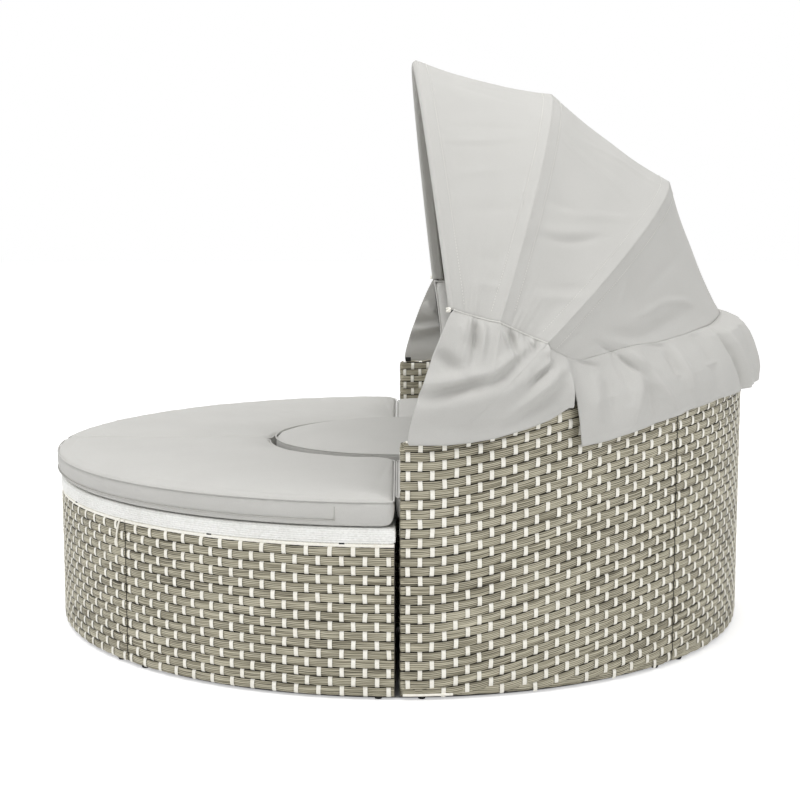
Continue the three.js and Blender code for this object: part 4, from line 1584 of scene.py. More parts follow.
def nearness(points: Array, line: Array, near: float, far: float) -> Array:
    """Gives 1 on a line, falling to 0 away from it.

    Args:
        points: Points to judge.
        line: Points of the line.
        near: Distance up to which the answer is 1.
        far: Distance from which it is 0.

    Returns:
        A number for each point.
    """
    tree = KDTree(len(line))
    for i, point in enumerate(line):
        tree.insert(point, i)
    tree.balance()
    gap = np.array([tree.find(point)[2] for point in points])
    return np.clip((far - gap) / (far - near), 0, 1)


@dataclass(frozen=True)
class Stuffing:
    """How a cover is meshed, and how far its filling blows it up."""

    voxel: float = 0.0108
    pressure: float = 4.0
    cap: float = 0.006
    near: float = 0.004
    far: float = 0.02
    flat_base: bool = True

    def fill(self, shop: Workshop, name: str, mesh: tuple[Array, list], seam: Array,
             material: Finish) -> Thing:
        """Makes a cushion from the mesh of its cover.

        Args:
            shop: The workshop.
            name: Name of the object.
            mesh: Points and faces of the cover.
            seam: Points of the seam that holds it.
            material: The finish.

        Returns:
            The stuffed cushion.
        """
        pad = shop.solid(name, *mesh, material)
        reshaped(pad, "REMESH", mode="VOXEL", voxel_size=self.voxel)
        pad.data.materials.append(material)
        points = spots_of(pad)
        held = nearness(points, seam, self.near, self.far)
        if self.flat_base:
            held = np.maximum(held, np.clip((BED.cushion_low + 0.014 - points[:, 2]) / 0.008, 0, 1))
        inflate(pad, held, self.pressure, self.cap)
        reshaped(pad, "SUBSURF", levels=1, render_levels=1)
        return pad


@dataclass
class RingCushion:
    """A quarter of the seat's ring of cushions, in the +X quarter of its half."""

    shop: Workshop
    half: str
    body: Body
    outer: float
    edge_y: float
    side: int
    inner: float = 0.3495
    edge_x: float = 0.0024
    corner: float = 0.024
    crown: float = 0.0135
    piping: float = 0.0019
    zip_height: float = 0.018
    zip_radius: float = 0.0017

    def ring(self, inset: float, height: float, steps: int = 40) -> Array:
        """Gives a ring of the cushion, moved inwards.

        Args:
            inset: How far it lies inside the outline.
            height: Its height.
            steps: Steps along each arc.

        Returns:
            The points of the ring.
        """
        outer, inner = self.outer - inset, self.inner + inset
        x0, y0 = self.edge_x + inset, self.edge_y + inset
        corner = max(self.corner - inset * 0.6, 0.008)

        def arc(radius: float) -> Array:
            """Gives the arc between two corners.

            Args:
                radius: Radius of the arc.

            Returns:
                Its points.
            """
            first = math.asin(y0 / radius) + corner / radius
            last = QUARTER - math.asin(x0 / radius) - corner / radius
            angles = np.linspace(first, last, steps)
            return np.stack([radius * np.cos(angles), radius * np.sin(angles)], 1)

        def bend(a: Array, tip: Array, b: Array) -> Array:
            """Rounds a corner."""
            t = np.linspace(0, 1, 8)[1:-1, None]
            return (1 - t) ** 2 * a + 2 * t * (1 - t) * tip + t * t * b

        def edge(a: Array, b: Array) -> Array:
            """Gives a straight side."""
            return a + (b - a) * np.linspace(0, 1, 24)[:, None]

        far, near = arc(outer), arc(inner)[::-1]
        top_far, top_near = (np.array([x0, math.sqrt(r**2 - x0**2)]) for r in (outer, inner))
        low_far, low_near = (np.array([math.sqrt(r**2 - y0**2), y0]) for r in (outer, inner))
        up = edge(top_far - [0, corner], top_near + [0, corner])
        across = edge(low_near + [corner, 0], low_far - [corner, 0])
        plan = np.concatenate([
            far, bend(far[-1], top_far, up[0]), up, bend(up[-1], top_near, near[0]),
            near, bend(near[-1], low_near, across[0]), across, bend(across[-1], low_far, far[0]),
        ])
        plan = plan * np.array([1, self.side])
        return np.column_stack([plan, np.full(len(plan), height)])

    def build(self) -> None:
        """Makes the cushion, its twin, and the seams and zips of both."""
        low, seam, rise = BED.cushion_low, BED.cushion_seam, self.crown
        layers = [
            (0.03, low), (0.016, low + 0.002), (0.007, low + 0.007), (0.0025, low + 0.015),
            (0.002, (low + seam) / 2), (0.0, seam - 0.009), (0.0005, seam - 0.002), (0.002, seam),
            (0.007, seam + rise * 0.3), (0.017, seam + rise * 0.6), (0.03, seam + rise * 0.78),
            (0.055, seam + rise * 0.9), (0.09, seam + rise * 0.97), (0.15, seam + rise),
        ]
        name = f"{self.half}_seat_pad"
        cover = loft_rings([self.ring(inset, z) for inset, z in layers])
        pad = Stuffing().fill(self.shop, f"{name}_right", cover, self.ring(0.004, seam),
                              self.shop.palette.seat)
        self.pucker(pad, self.ring(0.003, seam))
        twin = self.shop.mirrored(f"{name}_left", pad)
        for side, piece in (("right", pad), ("left", twin)):
            settle(piece, self.body, Slot.SEAT, f"{self.half}_cushion_{side}")
        self.seams(name)

    def pucker(self, pad: Thing, line: Array) -> None:
        """Draws the cloth in along the seam and lets it wrinkle a little beside it.

        Args:
            pad: The cushion.
            line: Points of its seam.
        """
        points = spots_of(pad)
        near = nearness(points, line, 0.0, 0.012)
        wide = nearness(points, line, 0.0, 0.07)
        angle = np.arctan2(points[:, 1], points[:, 0])
        ripple = np.sin(angle * 210) * 0.5 + np.sin(angle * 137 + 1.3) * 0.5
        slow = np.sin(angle * 23 + points[:, 0] * 30) * np.cos(points[:, 1] * 26 + 2)
        top = points[:, 2] > BED.cushion_seam + 0.001
        depth = self.outer - np.hypot(points[:, 0], points[:, 1])
        crease = np.exp(-(((depth - 0.036 - 0.006 * np.sin(angle * 7)) / 0.006) ** 2))
        crease = crease * (0.6 + 0.4 * np.sin(angle * 17 + 1))
        points[:, 2] += top * (wide * (1 - near) * ripple * 0.0008 + slow * 0.0007 * (1 - near))
        points[:, 2] -= top * crease * 0.0022
        move_spots(pad, points)

    def seams(self, name: str) -> None:
        """Lays the piping of the top seam and the zip line of the side.

        Args:
            name: Name of the cushion.
        """
        palette = self.shop.palette
        line = self.ring(0.0022, BED.cushion_seam - 0.0004)
        piping = self.shop.round_tube(name + "_piping_right", line, self.piping, 8, palette.seat,
                                      closed=True)
        low = self.ring(0.0018, BED.cushion_low + self.zip_height)
        end = np.repeat(low[3][None], 7, axis=0)
        end[:, 2] += np.linspace(0.03, 0.002, 7)
        zip_line = self.shop.round_tube(
            name + "_zip_right", np.concatenate([end, low[3:40]]), self.zip_radius, 6, palette.zip
        )
        for piece in (piping, zip_line):
            twin = self.shop.mirrored(piece.name.replace("right", "left"), piece)
            for each in (piece, twin):
                settle(each, self.body, Slot.SEAT)


@dataclass
class StoolPad:
    """The round cushion in the middle."""

    shop: Workshop
    radius: float = 0.3375
    seam: float = 0.4486
    crown: float = 0.0135
    piping: float = 0.0021

    def ring(self, inset: float, height: float) -> Array:
        """Gives a ring of the cushion."""
        return around(self.radius - inset, np.linspace(0, 2 * math.pi, 121)[:-1], height)

    def build(self) -> None:
        """Makes the cushion and its seam."""
        low, seam, rise = BED.cushion_low, self.seam, self.crown
        layers = [
            (0.014, low), (0.005, low + 0.002), (0.001, low + 0.01), (0.0025, (low + seam) / 2),
            (0.001, seam - 0.01), (0.003, seam - 0.002), (0.005, seam), (0.012, seam + rise * 0.25),
            (0.028, seam + rise * 0.52), (0.055, seam + rise * 0.78), (0.09, seam + rise * 0.93),
            (0.16, seam + rise),
        ]
        cloth = self.shop.palette.middle
        cover = loft_rings([self.ring(inset, z) for inset, z in layers])
        pad = Stuffing().fill(self.shop, "stool_pad", cover, self.ring(0.004, seam), cloth)
        settle(pad, Body.STOOL, Slot.SEAT, "stool_cushion")
        piping = self.shop.round_tube("stool_pad_piping", self.ring(0.001, seam), self.piping, 8,
                                      cloth, closed=True)
        settle(piping, Body.STOOL, Slot.SEAT)


@dataclass
class Pillows:
    """Two loose throw pillows that stand on their corners against the wall."""

    shop: Workshop
    size: float = 0.446
    thick: float = 0.118
    draw: float = 0.022
    steps: int = 24
    piping: float = 0.0024
    yaws: tuple[tuple[str, float], ...] = (("right", -66.0), ("left", 57.0))

    def skin(self, front: int) -> Array:
        """Gives one side of a pillow, with drawn-in edges and full corners.

        Args:
            front: 1 for the front side, -1 for the back.

        Returns:
            Its points.
        """
        t = np.sin(np.linspace(-QUARTER, QUARTER, self.steps + 1))
        u, v = np.meshgrid(t, t, indexing="ij")
        half = self.size / 2
        x = u * (half - self.draw * (1 - v * v))
        z = v * (half - self.draw * (1 - u * u))
        swell = ((1 - u * u) * (1 - v * v)) ** 0.36
        wrinkle = 0.0022 * np.sin(9 * u + 5 * v) * np.sin(11 * v - 3 * u) * swell
        return np.stack([x, front * (swell * self.thick / 2 + wrinkle), z], -1).reshape(-1, 3)

    def edge(self) -> Array:
        """Gives the seam round a pillow.

        Returns:
            Its points.
        """
        t = np.sin(np.linspace(-QUARTER, QUARTER, 40))[:-1]
        half, flat = self.size / 2, 0 * t
        bow = half - self.draw * (1 - t * t)
        sides = ((t * half, -bow), (bow, t * half), (-t * half, bow), (-bow, -t * half))
        return np.concatenate([np.stack([x, flat, z], 1) for x, z in sides])

    def cover(self) -> tuple[Array, list]:
        """Gives the closed mesh of a pillow.

        Returns:
            Points and faces.
        """
        width = self.steps + 1
        faces = []
        for i in range(self.steps):
            for j in range(self.steps):
                a = i * width + j
                b = a + width * width
                faces.append((a, a + 1, a + width + 1, a + width))
                faces.append((b, b + width, b + width + 1, b + 1))
        return np.concatenate([self.skin(1), self.skin(-1)]), faces

    def build(self) -> None:
        """Makes both pillows from one simulated shape."""
        cloth = self.shop.palette.seat
        stuffing = Stuffing(0.007, 3.0, 0.012, near=0.005, flat_base=False)
        pad = stuffing.fill(self.shop, "pillow_shape", self.cover(), self.edge(), cloth)
        piping = self.shop.round_tube("pillow_piping", self.edge(), self.piping, 8, cloth,
                                      closed=True)
        self.shop.join("pillow_shape", [pad, piping])
        for side, yaw in self.yaws:
            low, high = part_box(f"pillow_{side}")
            copy = pad.data.copy()
            copy.transform(turned(yaw, (low + high) / 2))
            piece = placed(f"throw_pillow_{side}", copy)
            settle(piece, Body.SOFA, Slot.SEAT, f"pillow_{side}")
        bpy.data.objects.remove(pad)


# Canopy


@dataclass(frozen=True)
class Crease:
    """One fold of cloth: a bent stroke over a sheet's own two lengths, in metres."""

    start: tuple[float, float]
    end: tuple[float, float]
    width: float
    depth: float
    bend: float = 0.0

    def at(self, u: Array, v: Array) -> Array:
        """Gives how far the fold lifts the sheet.

        Args:
            u: Places along the sheet.
            v: Places down the sheet, of the same shape.

        Returns:
            The lift at each place.
        """
        du, dv = self.end[0] - self.start[0], self.end[1] - self.start[1]
        length = math.hypot(du, dv)
        along = ((u - self.start[0]) * du + (v - self.start[1]) * dv) / length
        aside = ((u - self.start[0]) * -dv + (v - self.start[1]) * du) / length
        share = np.clip(along / length, 0, 1)
        beyond = along - share * length
        off = aside - self.bend * 4 * share * (1 - share)
        body = np.exp(-((off / self.width) ** 2))
        ends = np.exp(-((beyond / (2.5 * self.width)) ** 2)) * (0.35 + 2.6 * share * (1 - share))
        return self.depth * body * ends


def creased(creases: Sequence[Crease], u: Array, v: Array) -> Array:
    """Adds up the lift of several folds."""
    return sum((crease.at(u, v) for crease in creases), np.zeros(np.broadcast(u, v).shape))


def folds(*rows: tuple[float, ...]) -> tuple[Crease, ...]:
    """Reads folds from rows of start, end, width, depth and, where it bends, bend, in mm.

    Args:
        *rows: The rows.

    Returns:
        The folds.
    """
    return tuple(
        Crease((a / 1000, b / 1000), (c / 1000, d / 1000), *(size / 1000 for size in sizes))
        for a, b, c, d, *sizes in rows
    )


SIDE_FOLDS = folds(
    (78, 757, 128, 712, 15, -11), (42, 690, 200, 712, 17, 11, -4), (200, 714, 316, 785, 14, 8),
    (60, 668, 205, 700, 12, -12), (205, 700, 265, 744, 9, -6), (30, 632, 240, 680, 24, 8, -4),
    (240, 682, 335, 768, 17, 7), (174, 830, 160, 750, 8.5, -11), (192, 826, 178, 752, 9, 6),
    (148, 832, 140, 775, 13, 5), (224, 814, 243, 758, 5, 6), (250, 812, 256, 742, 8, -9),
    (281, 790, 297, 756, 6, -6), (316, 787, 305, 758, 6, -7), (299, 790, 301, 762, 6, 5),
    (334, 772, 326, 740, 8, 5), (345, 734, 285, 690, 6.5, -8), (360, 742, 290, 704, 10, 6),
    (372, 726, 255, 636, 13, 9), (340, 672, 220, 596, 14, -5), (100, 600, 220, 600, 12, -3),
)
GORE_FOLDS = folds(
    (129, 1253, 307, 1249, 9, -2.2, 4), (105, 1220, 294, 1232, 7, 2.2, -5),
    (116, 1209, 220, 1208, 6, -1.8), (121, 1140, 240, 1146, 10, 2.4, 4),
    (130, 1060, 280, 1066, 12, -2), (386, 1224, 545, 1086, 4.5, 3.4, 6),
    (400, 1240, 560, 1120, 8, -2.6), (440, 1232, 649, 1108, 4.5, 3, 10),
    (86, 1400, 356, 1330, 5, 2.6), (100, 1380, 300, 1322, 6, -2), (387, 1300, 483, 1228, 5, 3),
    (483, 1228, 651, 1116, 5, 3), (320, 1000, 450, 998, 8, -5, -8),
    (310, 1016, 460, 1014, 12, 3, -6), (333, 1082, 426, 1050, 10, -2.4),
    (361, 1055, 539, 1038, 10, 2.8), (316, 890, 416, 884, 10, -2.6),
    (300, 870, 400, 862, 10, 2.6), (155, 960, 225, 946, 12, -2.6), (150, 900, 225, 890, 10, 2.4),
    (541, 815, 614, 843, 9, 4.5), (614, 843, 709, 833, 8, 6, 6), (477, 786, 550, 776, 14, -5),
    (550, 778, 674, 815, 13, -7), (444, 764, 493, 735, 5, -6), (470, 770, 540, 750, 10, 4),
    (688, 961, 569, 874, 16, -2.4), (520, 920, 500, 850, 14, 2.8),
)
REAR_FOLDS = folds(
    (378, 742, 460, 714, 6, -7), (400, 752, 480, 730, 10, 4), (534, 732, 576, 696, 6, -8),
    (560, 744, 610, 704, 12, 6), (575, 700, 530, 590, 20, 7), (600, 706, 668, 606, 18, 7),
    (588, 680, 600, 590, 14, -6), (610, 756, 686, 748, 7, -5), (692, 735, 706, 670, 16, -6),
    (724, 756, 738, 640, 20, 6), (450, 700, 430, 600, 18, 5), (480, 700, 480, 590, 16, -5),
    (850, 790, 860, 630, 30, -5), (955, 760, 1005, 612, 11, -13), (985, 792, 1040, 608, 14, 10),
    (1120, 780, 1130, 620, 22, -7), (1200, 780, 1190, 620, 24, 6), (1290, 780, 1280, 620, 20, -8),
)


@dataclass(frozen=True)
class Bow:
    """One bow: its body, its reach, its angle above +Y, the arch angle of its hem and its slot."""

    name: str
    body: Body
    reach: float
    angle: float
    hem: float
    slot: float
    end_gap: float = 0.008
    roundness: float = 1.88

    @property
    def half_width(self) -> float:
        """Half of the distance between the bow's hinge bars."""
        ring = BED.radius - BED.wall / 2
        return math.sqrt(ring**2 - BED.pivot_y**2) - self.end_gap + self.slot

    @property
    def up(self) -> Array:
        """Way from the hinge line to the crown."""
        tilt = math.radians(self.angle)
        return np.array([0, math.cos(tilt), math.sin(tilt)])

    @property
    def ahead(self) -> Array:
        """Way square to the bow, towards the front."""
        tilt = math.radians(self.angle)
        return np.array([0, -math.sin(tilt), math.cos(tilt)])

    def angle_at(self, off: float) -> float:
        """Gives the arch angle at which the tube is a given way off the hinge line."""
        return math.asin((off / self.reach) ** (self.roundness / 2))

    def arch(self, angle: Array, offset: Array | float = 0.0) -> Array:
        """Gives points of the arch in the row frame.

        Args:
            angle: Places from one hinge at 0 to the other at pi.
            offset: How far outside the tube's middle the points lie.

        Returns:
            One point per angle.
        """
        power = 2 / self.roundness
        across = np.sign(np.cos(angle)) * np.abs(np.cos(angle)) ** power
        x = (self.half_width + offset) * across
        r = (self.reach + offset) * np.abs(np.sin(angle)) ** power
        tilt = math.radians(self.angle)
        return np.stack(
            [x, BED.pivot_y + r * math.cos(tilt), BED.pivot_z + r * math.sin(tilt)], -1
        )


FRONT = Bow("canopy_bow_front", Body.FRONT, 0.836, 97.1, 17.8, 0.0073)
SECOND = Bow("canopy_bow_second", Body.SECOND, 0.783, 71.7, 17.6, 0.0039)
THIRD = Bow("canopy_bow_third", Body.THIRD, 0.759, 43.5, 19.5, -0.0039)
REAR = Bow("canopy_bow_rear", Body.SOFA, 0.7133, 15.3, 42.0, -0.0073)
HINGE = np.array([0, BED.pivot_y, BED.pivot_z])


class Pull(Enum):
    """The three stretches of cloth between the bows."""

    FRONT = (FRONT, SECOND, SECOND, 1)
    MIDDLE = (SECOND, THIRD, SECOND, -1)
    REAR = (THIRD, REAR, THIRD, -1)

    def hem_at(self, share: Array) -> Array:
        """Gives the arch angle of the hem at places from bow to bow."""
        first, second = self.value[:2]
        return np.radians(first.hem + (second.hem - first.hem) * share)

    def blend(self, piece: Thing) -> None:
        """Bakes a piece's transform into its mesh.

        Args:
            piece: The object.
        """
        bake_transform(piece)


@dataclass
class Canopy:
    """Cloth between the bows, the gathered skirt, its seams and the bows themselves."""

    shop: Workshop
    sag: float = 0.011
    cloth: float = 0.0115
    thick: float = 0.0014
    band: float = 0.027
    slit: float = 21.9
    skirt_radius: float = 0.925
    skirt_front: float = 0.0195
    skirt_ends: tuple[float, float] = (23.75, 25.15)
    back_bulge: float = 0.016
    wall_gap: float = 0.0055
    fold_gain: float = 1.6
    fullness: float = 1.25
    tube: float = 0.008
    tube_low: float = 0.138
    sleeve: float = 0.0099
    hem_roll: float = 0.0017
    tie: float = 0.0016
    bar_thick: float = 0.003
    bar_width: float = 0.014
    bar_eye: float = 0.011
    bar_high: float = 0.15

    def stretch(self, pull: Pull, share: Array, angle: Array, lift: Array | float = 0.0) -> Array:
        """Gives points of the cloth between two bows, with its sag and its wrinkles.

        Args:
            pull: The stretch of cloth.
            share: Places from bow to bow.
            angle: Arch angles, of the same shape.
            lift: How far the points stand off the cloth.

        Returns:
            One point per place.
        """
        a, b = (bow.arch(angle, self.cloth) for bow in pull.value[:2])
        point = a + (b - a) * share[..., None]
        inward = HINGE - point
        inward /= np.linalg.norm(inward, axis=-1, keepdims=True)
        hang = 4 * share * (1 - share)
        depth = self.sag * hang + self.wrinkle(pull.value[0], share, angle) * np.sqrt(hang)
        depth = depth - creased(GORE_FOLDS, point[..., 1], point[..., 2]) * np.minimum(hang * 5, 1)
        return point + inward * (depth - lift)[..., None]

    @staticmethod
    def wrinkle(first: Bow, share: Array, angle: Array) -> Array:
        """Gives the depth of the wrinkles: tension lines, ridge creases and gathers at the hem.

        Args:
            first: Bow at share 0.
            share: Places from bow to bow.
            angle: Arch angles, of the same shape.

        Returns:
            The depth at each place.
        """
        seed = first.angle
        side = np.minimum(angle, math.pi - angle)
        long_fold = np.sin(5 * share + 2.2 * side + seed) * np.sin(3.1 * side - 3 * share + seed)
        fine = np.sin(11 * share + 5 * np.sin(3 * angle + seed)) * np.cos(13 * angle - 4 * share)
        crest = np.exp(-(((angle - QUARTER) / 0.3) ** 2))
        ridge = crest * np.sin(58 * angle + 4 * share + seed) * np.sin(41 * angle - 3 * share)
        gather = np.exp(-np.clip(side - math.radians(first.hem), 0, 9) / 0.11)
        pleat = gather * np.sin(44 * share + 3 * np.sin(9 * share + seed))
        return 0.0024 * long_fold + 0.0009 * fine + 0.0013 * ridge + 0.0008 * pleat

    @staticmethod
    def rear_reach(angle: Array) -> Array:
        """Gives how far the rear gore reaches towards the rear bow.

        Args:
            angle: Arch angles.

        Returns:
            The share at which the gore ends.
        """
        side = np.degrees(np.minimum(angle, math.pi - angle))
        return np.interp(
            side, [19.5, 20.3, 21.5, 23, 25, 29.8, 36.5, 42, 50, 62, 90],
            [0.07, 0.2, 0.36, 0.53, 0.63, 0.71, 0.79, 0.88, 0.93, 0.98, 1.0],
        )

    def sheet_mesh(self, name: str, outer: Array, lined: bool = False) -> Thing:
        """Makes a thin closed sheet from a grid of points on its outer side.

        Args:
            name: Name of the object.
            outer: Grid of points, rows by columns.
            lined: Whether its inner side gets the darker cloth, a painted shade.

        Returns:
            The object.
        """
        normal = np.cross(np.gradient(outer, axis=1), np.gradient(outer, axis=0))
        normal /= np.maximum(np.linalg.norm(normal, axis=-1, keepdims=True), 1e-9)
        middle = outer.reshape(-1, 3).mean(0) - HINGE
        if (normal.reshape(-1, 3) @ middle).mean() < 0:
            normal = -normal
        inner = outer - normal * self.thick
        rows, columns = outer.shape[:2]
        count = rows * columns
        faces = []
        for i in range(rows - 1):
            for j in range(columns - 1):
                a = i * columns + j
                b, c = a + columns, count + a
                faces.append((a, a + 1, b + 1, b))
                faces.append((c, c + columns, c + columns + 1, c + 1))
        for j in range(columns - 1):
            faces.append((j, count + j, count + j + 1, j + 1))
            k = (rows - 1) * columns + j
            faces.append((k, k + 1, count + k + 1, count + k))
        for i in range(rows - 1):
            a, b = i * columns, i * columns + columns - 1
            faces.append((a, a + columns, count + a + columns, count + a))
            faces.append((b, count + b, count + b + columns, b + columns))
        vertices = np.concatenate([outer.reshape(-1, 3), inner.reshape(-1, 3)])
        piece = self.shop.solid(name, vertices, faces, self.shop.palette.canopy)
        # The inner faces take the darker cloth, as painted shade inside the canopy.
        if lined:
            piece.data.materials.append(self.shop.palette.inside_shade)
            for face in piece.data.polygons:
                face.material_index = int(min(face.vertices) >= count)
        return piece

    def declare(self, piece: Thing) -> None:
        """Works out the cloth's area and width from the piece's mesh, and keeps neither.

        Args:
            piece: The cloth.
        """
        work = bmesh.new()
        work.from_mesh(piece.data)
        area = sum(face.calc_area() for face in work.faces) / 2
        work.free()
        points = spots_of(piece)
        width = float(np.ptp(points[:, 0]))
        if width <= 0.9:
            width = float(np.linalg.norm(np.ptp(points[:, :2], axis=0)))

    @staticmethod
    def shares() -> Array:
        """Gives places from bow to bow, close together at the edges of the sewn bands.

        Returns:
            The places.
        """
        middle = np.linspace(0.13, 0.87, 32)
        edge = np.array([0.0, 0.012, 0.03, 0.05, 0.065, 0.074, 0.08, 0.09, 0.105])
        return np.concatenate([edge, middle, (1 - edge)[::-1]])

    @staticmethod
    def gap(pull: Pull, angle: Array) -> Array:
        """Gives the way from bow to bow."""
        first, second = pull.value[:2]
        return np.linalg.norm(first.arch(angle, 0.0) - second.arch(angle, 0.0), axis=-1)

    def band_lift(self, pull: Pull, share: Array, angle: Array) -> Array:
        """Raises the cloth where a doubled band is sewn beside a bow.

        Args:
            pull: The stretch of cloth.
            share: Places from bow to bow.
            angle: Arch angles, of the same shape.

        Returns:
            The lift at each place.
        """
        near = np.minimum(share, 1 - share) * self.gap(pull, angle)
        step = np.clip((self.band - near) / 0.003, 0, 1)
        groove = np.exp(-(((near - self.band + 0.002) / 0.0022) ** 2))
        return 0.0008 * step - 0.0003 * groove

    def gore(self, pull: Pull, columns: int = 281) -> None:
        """Makes one gore with its sewn bands and stitches.

        Args:
            pull: The stretch of cloth.
            columns: Points round the arch.
        """
        first, second = pull.value[:2]
        kind = pull.name.lower()
        share = self.shares()
        if pull is Pull.REAR:
            low = math.radians(first.hem)
            angle = np.linspace(low, math.pi - low, columns + 40)
            grid_share = share[:, None] * self.rear_reach(angle)[None, :]
            grid_angle = np.broadcast_to(angle, grid_share.shape)
        else:
            start = pull.hem_at(share)[:, None]
            grid_angle = start + (math.pi - 2 * start) * np.linspace(0, 1, columns)[None, :]
            grid_share = np.broadcast_to(share[:, None], grid_angle.shape)
        lift = self.band_lift(pull, grid_share, grid_angle)
        grid = self.stretch(pull, grid_share, grid_angle, lift)
        if pull is Pull.FRONT:
            grid = np.concatenate([self.front_roll(grid_angle[0]), grid])
        piece = self.sheet_mesh(f"{kind}_gore", grid, lined=True)
        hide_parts(f"canopy_gore_{kind}")
        self.declare(piece)
        pull.blend(piece)
        self.stitches(pull, f"{kind}_gore_stitches")

    def front_roll(self, angle: Array) -> Array:
        """Rolls the front edge of the cloth round the front bow and back inside.

        Args:
            angle: Arch angles of the edge.

        Returns:
            Rows of points.
        """
        ahead = FRONT.ahead
        centre = FRONT.arch(angle, 0.0)
        outside = FRONT.arch(angle, self.cloth) - centre
        outside /= np.linalg.norm(outside, axis=-1, keepdims=True)
        rows = [
            centre - outside * (self.cloth - 0.001) - ahead * back for back in (0.024, 0.016, 0.008)
        ]
        for turn in np.radians([180, 150, 120, 90, 60, 30]):
            way = outside * math.cos(turn) + ahead * math.sin(turn)
            rows.append(centre + way * (self.cloth - 0.0004 * (turn > 1)))
        return np.array(rows)

    def stitches(self, pull: Pull, name: str) -> None:
        """Sews rows of stitches along both bands of a gore.

        Args:
            pull: The stretch of cloth.
            name: Name of the object.
        """
        first, second = pull.value[:2]
        rear = pull is Pull.REAR
        spots, ups, outs = [], [], []
        low = math.radians(max(first.hem, 0 if rear else second.hem) + 1.5)
        angle = np.arange(low, math.pi - low, 0.0085)
        near = (self.band - 0.002) / self.gap(pull, angle)
        for share in (near,) if rear else (near, 1 - near):
            keep = (near < 0.4) & ((share < self.rear_reach(angle)) | (not rear))
            row = self.stretch(pull, share, angle, np.full(len(angle), 0.0011))
            way = np.gradient(row, axis=0)
            way /= np.linalg.norm(way, axis=-1, keepdims=True)
            out = row - HINGE
            out /= np.linalg.norm(out, axis=-1, keepdims=True)
            for store, vectors in ((spots, row), (ups, way), (outs, out)):
                store.append(vectors[keep])
        mesh = self.shop.points(
            name + "_spots", np.concatenate(spots), np.concatenate(outs), np.concatenate(ups)
        )
        # The light thread also stands as a painted highlight along the seams.
        piece = self.shop.stitch.grow(
            name, mesh, Width=0.0011, Length=0.0042, Rise=0.0003, Dive=0.0012,
            Material=self.shop.palette.thread,
        )
        pull.blend(piece)

    def side_hem(self) -> Array:
        """Gives the hem on the right side, from the front bow back to the slit.

        Returns:
            Its points.
        """
        t = np.linspace(0, 1, 50)
        front, middle = (
            self.stretch(pull, t, pull.hem_at(t)) for pull in (Pull.FRONT, Pull.MIDDLE)
        )
        angle = np.radians(np.linspace(THIRD.hem, self.slit - 0.1, 24))
        rear = self.stretch(Pull.REAR, self.rear_reach(angle), angle)
        return np.concatenate([front, middle[1:], rear[1:]])

    def rear_hem(self) -> Array:
        """Gives the hem round the rear, from the right slit to the left one.

        Returns:
            Its points.
        """
        low = math.radians(self.slit + 0.1)
        angle = np.linspace(low, math.pi - low, 400)
        return self.stretch(Pull.REAR, self.rear_reach(angle), angle)

    @staticmethod
    def evened(line: Array, count: int) -> Array:
        """Spaces a line's points evenly.

        Args:
            line: The line's points.
            count: How many points are wanted.

        Returns:
            The new points.
        """
        run = lengths(line)
        t = np.linspace(0, run[-1], count)
        return np.stack([np.interp(t, run, line[:, k]) for k in range(3)], 1)

    def hanging(self, hem: Array, low_angle: Array, low_height: Array, creases: Sequence[Crease],
                edge: float = 0.0, slit_edge: float = 0.0) -> Array:
        """Hangs a skirt from a hem.

        Args:
            hem: Points of the hem.
            low_angle: Angle round the bed of the lower edge under each point.
            low_height: Height of the lower edge under each point.
            creases: Folds of the cloth, by length round the bed and by height.
            edge: How far the first edge bows out sideways, in radians.
            slit_edge: The same for the last edge, at the slit.

        Returns:
            Grid of points, rows by columns.
        """
        down = np.linspace(0, 1, 50)[:, None]
        soft = np.interp(down, [0, 0.1, 0.3, 0.5, 0.7, 0.87, 1],
                         [0, 0.16, 0.5, 0.77, 0.92, 0.98, 1])
        puff = np.interp(down, [0, 0.04, 0.11, 0.25, 0.4, 0.66, 0.8, 1],
                         [0, 0.28, 0.56, 0.71, 0.81, 0.95, 1, 1])
        run = np.linspace(0, 1, len(hem))[None, :]
        top_angle = np.arctan2(hem[:, 1], hem[:, 0])[None, :]
        top_radius = np.hypot(hem[:, 0], hem[:, 1])[None, :] + 0.0006
        bowed = np.sqrt(down * (1 - down))
        angle = top_angle + (low_angle - top_angle) * down
        angle = angle - edge * bowed * np.exp(-run / 0.06)
        angle = angle + slit_edge * bowed * np.exp((run - 1) / 0.06)
        turn = np.degrees(np.minimum(angle, math.pi - angle))
        round_bed = BED.radius * np.radians(turn)
        plump = np.clip((turn - 52) / 14, 0, 1)
        plump = np.maximum(plump, 0.45 * np.clip((20 - turn) / 10, 0, 1))
        flare = soft + (puff - soft) * plump
        low_radius = self.skirt_radius + self.back_bulge * np.clip((turn - 56) / 14, 0, 1)
        height = hem[None, :, 2] + (low_height[None, :] - hem[None, :, 2]) * down
        lift = self.fold_gain * creased(creases, round_bed, height) * np.minimum(down * 14, 1)
        lift = lift + 0.0016 * np.sin(angle * 31 + 9 * height) * np.sin(angle * 17) * np.sqrt(down)
        lift = lift + np.interp(down, [0, 0.92, 0.935, 1], [0, 0, 0.0009, 0.0009])
        radius = top_radius + (low_radius - top_radius) * flare + lift
        wall_top = BED.wall_top + BED.rise(round_bed) + 0.006
        clear = BED.radius + self.wall_gap - 2.0 * np.maximum(height - wall_top, 0)
        return around(np.maximum(radius, clear), angle, height)

